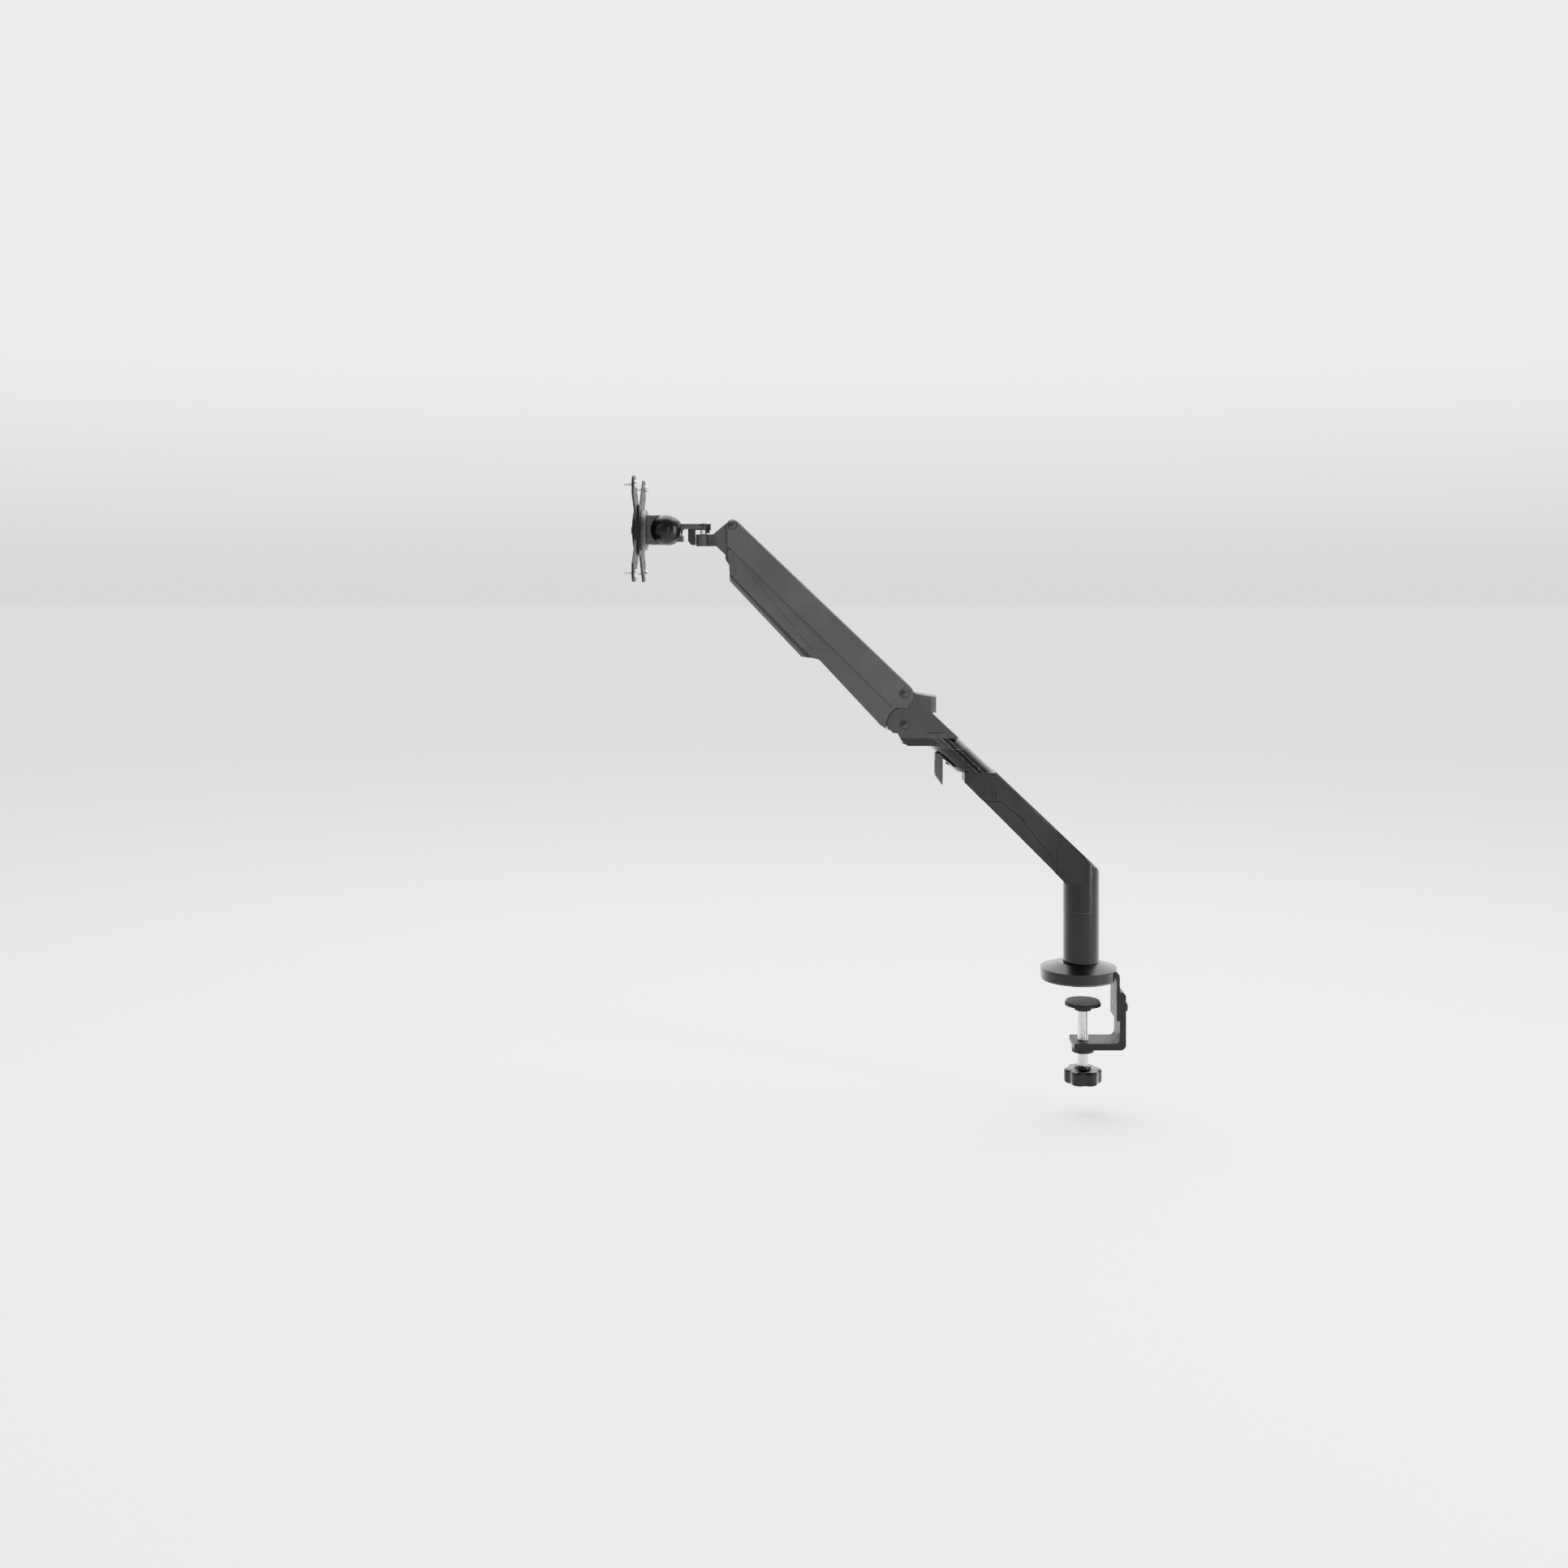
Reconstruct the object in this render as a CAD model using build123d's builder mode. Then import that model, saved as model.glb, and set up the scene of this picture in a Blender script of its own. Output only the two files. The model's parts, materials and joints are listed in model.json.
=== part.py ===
from build123d import *
import os
from math import asin, cos, radians, sin, sqrt, tan

# Desk monitor arm: a clamp base and short pole, a slanted lower arm, a spring arm that is a
# parallelogram of two links around a gas strut, and a pan, tilt and turn head with a square
# mounting plate. Millimetres, +Z up. The origin is on the desk surface under the pole's axis.
# Both arms lie in the XZ plane and reach towards -X.

# ---- driving dimensions ------------------------------------------------------------------
POLE_R = 21.0  # pole and lower arm half width
POLE_SEAM_Z = 79.0  # height of the base swivel seam
LOWER_REACH = 151.2  # pole axis to elbow axis
ELBOW_SEAM_Z = 266.7  # height of the elbow swivel seam
LINK_LENGTH = 275.0  # pivot to pivot of both links
LINK_DROP = 36.0  # lower pivots straight below the upper ones
REST_ANGLE = 44.4  # spring arm above the horizontal
SHOULDER_OUT = 54.0  # upper pivot beyond the elbow axis
SHOULDER_UP = 64.0  # upper pivot above the elbow seam
PLATE_HOLES = 100.0  # mounting pattern, outer square
PLATE_HOLES_SMALL = 75.0  # mounting pattern, inner square

# Fits between moving and fixed pieces
RUN_FIT = 0.05  # radial clearance of a running journal
SIDE_GAP = 0.3  # side clearance between nested layers
SEAM = 0.6  # visible gap at a swivel, filled by a thrust washer

# Layers of the spring arm, half widths from the middle plane outwards
ARM_HALF = 23.0
CHANNEL_WALL = 2.1
CHEEK_WALL = 4.0
LINK_WALL = 2.3
COVER_WALL = 2.4
CHANNEL_IN = ARM_HALF - CHANNEL_WALL
CHEEK_OUT = CHANNEL_IN - SIDE_GAP
CHEEK_IN = CHEEK_OUT - CHEEK_WALL
LINK_OUT = CHEEK_IN - SIDE_GAP
LINK_IN = LINK_OUT - LINK_WALL
COVER_IN = CHEEK_OUT - COVER_WALL
EAR_HALF = LINK_IN - SIDE_GAP

# Pivots, as (x, z) pairs in the middle plane
ELBOW_X = -LOWER_REACH
P = (ELBOW_X - SHOULDER_OUT, ELBOW_SEAM_Z + SHOULDER_UP)
Q = (P[0], P[1] - LINK_DROP)
REACH_X = LINK_LENGTH * cos(radians(REST_ANGLE))
REACH_Z = LINK_LENGTH * sin(radians(REST_ANGLE))
R = (P[0] - REACH_X, P[1] + REACH_Z)
S = (R[0], R[1] - LINK_DROP)
PIVOT_R = 3.0
BUSH_R = 4.25
HEAD_R = 5.35
HEAD_T = 2.4
BOSS_R = 7.2

# Planes: local x runs along the arm from elbow to head, local y is its upper side
ALONG = (-cos(radians(REST_ANGLE)), 0, sin(radians(REST_ANGLE)))
UPPER = Plane(origin=(P[0], 0, P[1]), x_dir=ALONG, z_dir=(0, 1, 0))
LOWER = Plane(origin=(Q[0], 0, Q[1]), x_dir=ALONG, z_dir=(0, 1, 0))
SIDE = Plane.XZ
# Height of a pivot pair across the arm, measured square to the links
LINK_GAP = LINK_DROP * cos(radians(REST_ANGLE))


def outline(plane, points, radius=0.0):
    """A closed flat shape from its corners, all rounded alike when a radius is given."""
    with BuildSketch(plane) as shape:
        with BuildLine():
            if radius:
                FilletPolyline(*points, radius=radius, close=True)
            else:
                Polyline(*points, close=True)
        make_face()
    return shape.sketch


def disc(plane, centre, radius):
    """A flat round shape."""
    with BuildSketch(plane) as shape:
        with Locations(centre):
            Circle(radius)
    return shape.sketch


def both_sides(plane, points, inner, outer, radius=0.0, mode=Mode.ADD):
    """Two equal plates of one outline, one each side of the middle plane."""
    for start in (inner, -outer):
        extrude(outline(plane.offset(start), points, radius), amount=outer - inner, mode=mode)


def across(plane, points, half, radius=0.0, mode=Mode.ADD):
    """A block of one outline straight across the middle plane."""
    extrude(outline(plane, points, radius), amount=half, both=True, mode=mode)


def disc_pair(plane, centre, radius, inner, outer, mode=Mode.ADD):
    """Two round bosses or holes, one each side of the middle plane."""
    for start in (inner, -outer):
        extrude(disc(plane.offset(start), centre, radius), amount=outer - inner, mode=mode)


def cross_disc(plane, centre, radius, half, mode=Mode.ADD):
    """A round bar or hole straight across the middle plane."""
    extrude(disc(plane, centre, radius), amount=half, both=True, mode=mode)


def upright(x, y, radius, bottom, top, mode=Mode.ADD):
    """A vertical round bar or hole between two heights."""
    extrude(disc(Plane.XY.offset(bottom), (x, y), radius), amount=top - bottom, mode=mode)


def ring(x, y, outer, inner, bottom, top):
    """A vertical ring between two heights."""
    upright(x, y, outer, bottom, top)
    upright(x, y, inner, bottom, top, mode=Mode.SUBTRACT)


# ---- base: clamp, cover and pole ---------------------------------------------------------
BASE_X = -3.0  # centre of the round base, a little ahead of the pole
BASE_R = 44.0
BASE_WALL = 2.2
PAD_T = 2.5
BASE_PLATE_T = 5.8
STRAP_T = 4.0
FOOT_T = 4.2
FOOT_R = 25.0
COVER_EDGE_Z = 13.8  # top of the cover's upright wall
COVER_TOP_Z = 20.2
CONE_R = 24.0
STRAP_HALF = 22.0
STRAP_OUT_X = 41.4  # outer face of the strap's leg
STRAP_LEG_Z = -44.0
STRAP_BEND_R = 6.0
BASE_PLATE_Z = PAD_T + BASE_PLATE_T
STRAP_Z = BASE_PLATE_Z + STRAP_T
FOOT_Z = STRAP_Z + FOOT_T
POLE_BORE_R = 9.0
SPIGOT_R = 14.0
SPIGOT_Z = 112.0
CLEAR_X = STRAP_OUT_X - STRAP_BEND_R - 0.6  # pieces inside the leg stop here
BRACKET_BOLT_R = 3.0
BRACKET_BOLT_Z = -30.0
BRACKET_BOLT_Y = 11.0
SCREW_PCD_R = 15.0
BASE_SCREW_R = 2.5
BASE_SCREW_HEAD_R = 4.8

with BuildPart() as base_pad:
    upright(BASE_X, 0, BASE_R - 1.5, 0, PAD_T)
    with Locations((CLEAR_X + BASE_R, 0, PAD_T)):
        Box(2 * BASE_R, 2 * BASE_R, 4 * PAD_T, mode=Mode.SUBTRACT)
    for turn in (45, 135, 225, 315):
        upright(SCREW_PCD_R * cos(radians(turn)), SCREW_PCD_R * sin(radians(turn)),
                BASE_SCREW_HEAD_R + 0.5, 0, PAD_T, mode=Mode.SUBTRACT)
base_pad.part.label = "base_pad"

with BuildPart() as base_plate:
    upright(BASE_X, 0, BASE_R - BASE_WALL - 0.3, PAD_T, BASE_PLATE_Z)
    with Locations((CLEAR_X + BASE_R, 0, PAD_T)):
        Box(2 * BASE_R, 2 * BASE_R, 6 * BASE_PLATE_T, mode=Mode.SUBTRACT)
    with Locations(Plane.XY.offset(PAD_T).rotated((180, 0, 0))):
        with PolarLocations(SCREW_PCD_R, 4, start_angle=45):
            CounterSinkHole(BASE_SCREW_R, BASE_SCREW_HEAD_R, depth=BASE_PLATE_T)
base_plate.part.label = "base_plate"

with BuildPart() as clamp_strap:
    with BuildSketch(SIDE):
        with BuildLine():
            FilletPolyline(
                (-28, STRAP_Z), (STRAP_OUT_X, STRAP_Z), (STRAP_OUT_X, STRAP_LEG_Z),
                radius=STRAP_BEND_R)
            offset(amount=STRAP_T, side=Side.RIGHT)
        make_face()
    extrude(amount=STRAP_HALF, both=True)
    with Locations(Plane.XY.offset(BASE_PLATE_Z)):
        with PolarLocations(SCREW_PCD_R, 4, start_angle=45):
            Hole(BASE_SCREW_R, depth=STRAP_T * 2)
    with Locations(Plane(origin=(STRAP_OUT_X, 0, BRACKET_BOLT_Z), z_dir=(1, 0, 0))):
        with Locations((0, BRACKET_BOLT_Y), (0, -BRACKET_BOLT_Y)):
            Hole(BRACKET_BOLT_R, depth=STRAP_T * 2)
clamp_strap.part.label = "clamp_strap"

with BuildPart() as base_cover:
    with BuildSketch(SIDE):
        with BuildLine():
            Polyline(
                (BASE_X, PAD_T), (BASE_X + BASE_R, PAD_T), (BASE_X + BASE_R, COVER_EDGE_Z),
                (BASE_X + CONE_R, COVER_TOP_Z), (BASE_X, COVER_TOP_Z), close=True)
        make_face()
    revolve(axis=Axis((BASE_X, 0, 0), (0, 0, 1)))
    with BuildSketch(SIDE):
        with BuildLine():
            Polyline(
                (BASE_X, PAD_T), (BASE_X + BASE_R - BASE_WALL, PAD_T),
                (BASE_X + BASE_R - BASE_WALL, COVER_EDGE_Z - BASE_WALL + 0.6),
                (BASE_X + CONE_R, COVER_TOP_Z - BASE_WALL), (BASE_X, COVER_TOP_Z - BASE_WALL),
                close=True)
        make_face()
    revolve(axis=Axis((BASE_X, 0, 0), (0, 0, 1)), mode=Mode.SUBTRACT)
    upright(0, 0, POLE_R + 0.3, PAD_T, COVER_TOP_Z + 1, mode=Mode.SUBTRACT)
    # notch for the strap
    notch_x = BASE_X + sqrt((BASE_R - BASE_WALL) ** 2 - STRAP_HALF ** 2) - 2.0
    with Locations((notch_x, 0, STRAP_Z + 0.2)):
        Box(BASE_R, 2 * STRAP_HALF + 0.8, 2 * STRAP_Z, mode=Mode.SUBTRACT,
            align=(Align.MIN, Align.CENTER, Align.MAX))
base_cover.part.label = "base_cover"

with BuildPart() as pole:
    upright(0, 0, FOOT_R, STRAP_Z, FOOT_Z)
    upright(0, 0, POLE_R, FOOT_Z, POLE_SEAM_Z)
    upright(0, 0, SPIGOT_R, POLE_SEAM_Z, SPIGOT_Z)
    upright(0, 0, POLE_BORE_R, STRAP_Z, SPIGOT_Z, mode=Mode.SUBTRACT)
    with Locations(Plane.XY.offset(STRAP_Z).rotated((180, 0, 0))):
        with PolarLocations(SCREW_PCD_R, 4, start_angle=45):
            Hole(BASE_SCREW_R, depth=9)
    # the lock screw's tip runs in this groove round the spigot
    with BuildSketch(Plane.XY.offset(98.0)):
        Circle(SPIGOT_R + 1)
        Circle(SPIGOT_R - 1.6, mode=Mode.SUBTRACT)
    extrude(amount=5.0, mode=Mode.SUBTRACT)
    chamfer(pole.edges().filter_by(GeomType.CIRCLE).sort_by(Axis.Z)[-1:], 0.8)
pole.part.label = "pole"

with BuildPart() as base_screws:
    with BuildSketch(Plane.XY.offset(PAD_T)):
        with PolarLocations(SCREW_PCD_R, 4, start_angle=45):
            Circle(BASE_SCREW_R)
    extrude(amount=STRAP_Z + 8 - PAD_T)
    for turn in (45, 135, 225, 315):
        spot = (SCREW_PCD_R * cos(radians(turn)), SCREW_PCD_R * sin(radians(turn)))
        with Locations((spot[0], spot[1], PAD_T)):
            Cone(BASE_SCREW_HEAD_R, BASE_SCREW_R, BASE_SCREW_HEAD_R - BASE_SCREW_R,
                 align=(Align.CENTER, Align.CENTER, Align.MIN))
base_screws.part.label = "base_screws"

with BuildPart() as pole_washer:
    ring(0, 0, POLE_R - 0.5, SPIGOT_R + 0.1, POLE_SEAM_Z, POLE_SEAM_Z + SEAM)
pole_washer.part.label = "pole_washer"

# ---- desk clamp --------------------------------------------------------------------------
DESK_REST = 25.0  # desk thickness the clamp is set to
DESK_MAX = 58.0
DESK_MIN = 10.0
JAW_T = 8.0
JAW_TOP_Z = -70.0
JAW_OUT_X = 48.8
JAW_TOP_OF_WEB = -11.4
JAW_HALF = 20.0
JAW_BOSS_R = 13.0
CLAMP_X = 2.0
CLAMP_R = 6.0
PRESS_R = 21.0
PRESS_T = 5.0
FACING_T = 2.0
SOCKET_DEEP = 3.0
KNOB_R = 22.0
KNOB_T = 16.0
press_top = -DESK_REST
press_z = press_top - FACING_T
screw_top = press_z - PRESS_T + SOCKET_DEEP
boss_z = JAW_TOP_Z - JAW_T - 6.0
# long enough for the knob to stay below the jaw on the thinnest desk
screw_bottom = boss_z - (DESK_REST - DESK_MIN) - 13.0

with BuildPart() as clamp_jaw:
    with BuildSketch(SIDE):
        with BuildLine():
            FilletPolyline(
                (STRAP_OUT_X, JAW_TOP_OF_WEB), (JAW_OUT_X, JAW_TOP_OF_WEB),
                (JAW_OUT_X, JAW_TOP_Z - JAW_T), (CLAMP_X - JAW_BOSS_R, JAW_TOP_Z - JAW_T),
                (CLAMP_X - JAW_BOSS_R, JAW_TOP_Z), (STRAP_OUT_X, JAW_TOP_Z),
                radius=(0.4, 5.5, 7.0, 2.0, 2.0, 6.0), close=True)
        make_face()
    extrude(amount=JAW_HALF, both=True)
    upright(CLAMP_X, 0, JAW_BOSS_R, boss_z, JAW_TOP_Z)
    upright(CLAMP_X, 0, CLAMP_R + RUN_FIT, boss_z, JAW_TOP_Z, mode=Mode.SUBTRACT)
    # a stiffening groove each side of the jaw
    for y in (-12.5, 12.5):
        with Locations((31.0, y, JAW_TOP_Z - JAW_T)):
            Box(16, 7, 4, mode=Mode.SUBTRACT)
    with Locations(Plane(origin=(JAW_OUT_X, 0, BRACKET_BOLT_Z), z_dir=(1, 0, 0))):
        with Locations((0, BRACKET_BOLT_Y), (0, -BRACKET_BOLT_Y)):
            Hole(BRACKET_BOLT_R, depth=12)
clamp_jaw.part.label = "clamp_jaw"

with BuildPart() as bracket_bolts:
    shank = Plane(origin=(STRAP_OUT_X - STRAP_T + 0.4, 0, BRACKET_BOLT_Z), z_dir=(1, 0, 0))
    with BuildSketch(shank):
        with Locations((0, BRACKET_BOLT_Y), (0, -BRACKET_BOLT_Y)):
            Circle(BRACKET_BOLT_R)
    extrude(amount=JAW_OUT_X - STRAP_OUT_X + STRAP_T - 0.4)
    with BuildSketch(Plane(origin=(JAW_OUT_X, 0, BRACKET_BOLT_Z), z_dir=(1, 0, 0))):
        with Locations((0, BRACKET_BOLT_Y), (0, -BRACKET_BOLT_Y)):
            Circle(5.4)
    extrude(amount=3.0)
    fillet(bracket_bolts.faces().sort_by(Axis.X)[-2:].edges(), 1.4)
    with BuildSketch(Plane(origin=(JAW_OUT_X + 3.0, 0, BRACKET_BOLT_Z), z_dir=(1, 0, 0))):
        with Locations((0, BRACKET_BOLT_Y), (0, -BRACKET_BOLT_Y)):
            RegularPolygon(2.3, 6)
    extrude(amount=-1.8, mode=Mode.SUBTRACT)
bracket_bolts.part.label = "bracket_bolts"

with BuildPart() as press_pad:
    upright(CLAMP_X, 0, PRESS_R, press_z - PRESS_T + 1.5, press_z)
    upright(CLAMP_X, 0, CLAMP_R + 4, press_z - PRESS_T - 4, press_z)
    upright(CLAMP_X, 0, CLAMP_R + 0.1, press_z - PRESS_T - 4, screw_top, mode=Mode.SUBTRACT)
    fillet(press_pad.edges().filter_by(GeomType.CIRCLE).group_by(Axis.Z)[-1], 0.8)
press_pad.part.label = "press_pad"

with BuildPart() as press_facing:
    upright(CLAMP_X, 0, PRESS_R - 1.5, press_z, press_top)
press_facing.part.label = "press_facing"

with BuildPart() as clamp_screw:
    upright(CLAMP_X, 0, CLAMP_R, screw_bottom, screw_top)
    chamfer(clamp_screw.edges().filter_by(GeomType.CIRCLE), 0.8)
clamp_screw.part.label = "clamp_screw"

with BuildPart() as clamp_knob:
    with BuildSketch(Plane.XY.offset(screw_bottom - KNOB_T + 8)):
        with Locations((CLAMP_X, 0)):
            Circle(KNOB_R)
            with PolarLocations(KNOB_R + 3.5, 6):
                Circle(6.5, mode=Mode.SUBTRACT)
    extrude(amount=KNOB_T)
    upright(CLAMP_X, 0, 10, screw_bottom + 8, screw_bottom + 12)
    upright(CLAMP_X, 0, CLAMP_R, screw_bottom, screw_bottom + 12, mode=Mode.SUBTRACT)
    fillet(clamp_knob.edges().group_by(Axis.Z)[0], 2.0)
clamp_knob.part.label = "clamp_knob"

# ---- lower arm ---------------------------------------------------------------------------
TOP_SLOPE = tan(radians(43.5))  # the long top edge
TOP_AT_POLE_Z = 125.9  # height of the top edge above the pole's rear side
UNDER_Z = 113.2  # where the underside leaves the pole
NECK_R = 22.0
COLLAR_R = 22.5
COLLAR_T = 6.5
COLLAR_Z = ELBOW_SEAM_Z - 26.4
NECK_LEAN = 1.06  # sideways shift of the neck for each millimetre of height
CABLE_HALF = 13.0
ARM_SEAM_Z = POLE_SEAM_Z + SEAM
BUSH_WALL = 3.0
SLEEVE_R = SPIGOT_R + BUSH_WALL
SHAFT_R = 6.0
ELBOW_BUSH_R = 8.0
SHAFT_SHOULDER_Z = ELBOW_SEAM_Z - 9.0


# Loop that holds the cables under the elbow
LOOP_X = ELBOW_X - 13.6
LOOP_W = 9.0
LOOP_HALF = 10.5
LOOP_T = 1.8
LOOP_TOP = ELBOW_SEAM_Z - 5.5
LOOP_SADDLE = ELBOW_SEAM_Z - 14.0
LOOP_BOTTOM = ELBOW_SEAM_Z - 43.0
LOOP_SCREW_R = 1.6
LOOP_SLANT = 11.5  # rise of the foot from its tip to its outer corner
LOOP_TIP = 0.8  # width of the blunt tip


def neck_x(z):
    """Middle of the leaning neck at a height."""
    return ELBOW_X - (z - ELBOW_SEAM_Z) * NECK_LEAN


def neck(bottom, top, radius, mode=Mode.ADD):
    """A leaning neck, round in every level section."""
    low = disc(Plane.XY.offset(bottom), (neck_x(bottom), 0), radius)
    high = disc(Plane.XY.offset(top), (neck_x(top), 0), radius)
    loft([low.face(), high.face()], mode=mode)


def top_z(x):
    """Height of the lower arm's top edge."""
    return TOP_AT_POLE_Z + (POLE_R - x) * TOP_SLOPE


def under(x):
    """Height of the lower arm's 45 degree underside."""
    return UNDER_Z + (-POLE_R - x)


collar_left = neck_x(COLLAR_Z) - COLLAR_R
body_left = collar_left + 9.3
under_left_z = under(body_left)
collar_right = POLE_R - (COLLAR_Z + 0.2 - TOP_AT_POLE_Z) / TOP_SLOPE

# Outline of the clip-on cable cover under the lower arm, measured from the underside line
door_start = body_left + 20.4
door_end = -34.0
door_outline = [
    (door_start, under(door_start)),
    (door_start + 21.4, under(door_start) - 0.9),
    (door_start + 43.6, under(door_start) - 19.5),
    (door_start + 60.0, under(door_start) - 40.0),
    (door_end, under(door_end) + 14.0),
    (door_end, under(door_end)),
]

DOOR_GAP = 0.35

# Shallow grooves in both sides: x, bottom, top and width of each
GROOVE_DEPTH = 0.9
GROOVES = [
    (-104.9, 211.6, 223.7, 1.1),
    (-100.8, 209.8, 219.1, 1.1),
    (-74.6, 184.5, 193.0, 1.4),
    (-69.6, 183.0, 189.5, 1.4),
    (-31.0, 121.5, 152.0, 0.7),
]

with BuildPart() as lower_arm:
    with BuildSketch(SIDE):
        with BuildLine():
            Polyline(
                (0, ARM_SEAM_Z), (0, top_z(0)), (collar_right, COLLAR_Z),
                (body_left, COLLAR_Z), (body_left, under_left_z), (-POLE_R, UNDER_Z),
                (-POLE_R, ARM_SEAM_Z), close=True)
        make_face()
    extrude(amount=POLE_R, both=True)
    # only the round pole end reaches below the underside
    with BuildSketch(Plane.XY.offset(ARM_SEAM_Z)):
        with Locations((-POLE_R, 0)):
            Rectangle(2 * POLE_R, 2 * POLE_R + 2)
        Circle(POLE_R, mode=Mode.SUBTRACT)
    extrude(amount=UNDER_Z - ARM_SEAM_Z, mode=Mode.SUBTRACT)
    with BuildSketch(Plane.XY.offset(ARM_SEAM_Z)):
        Circle(POLE_R)
        with Locations((-POLE_R, 0)):
            Rectangle(2 * POLE_R, 2 * POLE_R, mode=Mode.SUBTRACT)
    extrude(amount=top_z(0) - ARM_SEAM_Z)
    # slanted top over the round end
    with BuildSketch(SIDE):
        with BuildLine():
            Polyline(
                (-1, top_z(-1)), (POLE_R + 5, top_z(POLE_R + 5)),
                (POLE_R + 5, top_z(-1) + 5), (-1, top_z(-1) + 5), close=True)
        make_face()
    extrude(amount=POLE_R + 2, both=True, mode=Mode.SUBTRACT)
    long_edges = lower_arm.edges().filter_by(
        lambda e: e.length > 100 and abs(e.center().Y) > POLE_R - 1)
    chamfer(long_edges.group_by(Axis.Z)[-1], 2.2)
    neck(COLLAR_Z, COLLAR_Z + COLLAR_T, COLLAR_R)
    neck(COLLAR_Z, ELBOW_SEAM_Z - SEAM / 2, NECK_R)
    # cable trough under the arm, and the seat of its cover
    across(SIDE, door_outline, POLE_R + 1, mode=Mode.SUBTRACT)
    across(SIDE, [
        (door_start - 6, under(door_start) + 8), (door_start + 20, under(door_start) + 14),
        (door_end - 8, under(door_end) + 26), (door_end + 4, under(door_end) + 6),
        (door_end + 4, under(door_end) - 9), (door_start - 16, under(door_start) + 10)],
        CABLE_HALF, mode=Mode.SUBTRACT)
    for x, bottom, top, width in GROOVES:
        both_sides(SIDE, [
            (x - width / 2, bottom), (x + width / 2, bottom), (x + width / 2, top),
            (x - width / 2, top)], POLE_R - GROOVE_DEPTH, POLE_R + 1, mode=Mode.SUBTRACT)
    # bore for the pole's bush, and the lock screw's thread
    upright(0, 0, SLEEVE_R, ARM_SEAM_Z, SPIGOT_Z + 2, mode=Mode.SUBTRACT)
    with Locations(Plane(origin=(POLE_R + 1, 0, 100.5), z_dir=(1, 0, 0))):
        Hole(2.0, depth=POLE_R + 2 - SPIGOT_R)
    # elbow bore, web and nut pocket
    upright(ELBOW_X, 0, ELBOW_BUSH_R, SHAFT_SHOULDER_Z - 0.2, ELBOW_SEAM_Z, mode=Mode.SUBTRACT)
    upright(ELBOW_X, 0, 3.2, ELBOW_SEAM_Z - 22, ELBOW_SEAM_Z, mode=Mode.SUBTRACT)
    upright(ELBOW_X, 0, 6.6, ELBOW_SEAM_Z - 32, ELBOW_SEAM_Z - 13.2, mode=Mode.SUBTRACT)
    upright(LOOP_X, 0, LOOP_SCREW_R, LOOP_SADDLE, ELBOW_SEAM_Z - 3.0, mode=Mode.SUBTRACT)
lower_arm.part.label = "lower_arm"

with BuildPart() as lower_cable_cover:
    with BuildSketch(SIDE):
        with BuildLine():
            Polyline(*door_outline, close=True)
        make_face()
        offset(amount=-DOOR_GAP)
    extrude(amount=POLE_R, both=True)
    across(SIDE, [
        (door_start + 6, under(door_start) - 2), (door_start + 20, under(door_start) + 6),
        (door_end + 6, under(door_end) + 24), (door_end + 6, under(door_end) - 1.0),
        (door_end - 6, under(door_end) + 8.6)], CABLE_HALF, mode=Mode.SUBTRACT)
lower_cable_cover.part.label = "lower_cable_cover"

with BuildPart() as pole_bush:
    ring(0, 0, SLEEVE_R, SPIGOT_R + RUN_FIT, ARM_SEAM_Z, 96.0)
    ring(0, 0, SLEEVE_R, SPIGOT_R + RUN_FIT, 104.0, SPIGOT_Z)
pole_bush.part.label = "pole_bush"

with BuildPart() as lock_screw:
    with BuildSketch(Plane(origin=(SPIGOT_R - 1.0, 0, 100.5), z_dir=(1, 0, 0))):
        Circle(2.0)
    extrude(amount=POLE_R - 1 - (SPIGOT_R - 1.0))
    with BuildSketch(Plane(origin=(POLE_R - 1, 0, 100.5), z_dir=(1, 0, 0))):
        RegularPolygon(1.2, 6)
    extrude(amount=-1.6, mode=Mode.SUBTRACT)
lock_screw.part.label = "lock_screw"

with BuildPart() as elbow_bush:
    ring(ELBOW_X, 0, ELBOW_BUSH_R, SHAFT_R + RUN_FIT, SHAFT_SHOULDER_Z, ELBOW_SEAM_Z - SEAM / 2)
elbow_bush.part.label = "elbow_bush"

with BuildPart() as elbow_washer:
    ring(ELBOW_X, 0, NECK_R - 0.6, SHAFT_R + 0.2, ELBOW_SEAM_Z - SEAM / 2, ELBOW_SEAM_Z + SEAM / 2)
elbow_washer.part.label = "elbow_washer"

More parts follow.
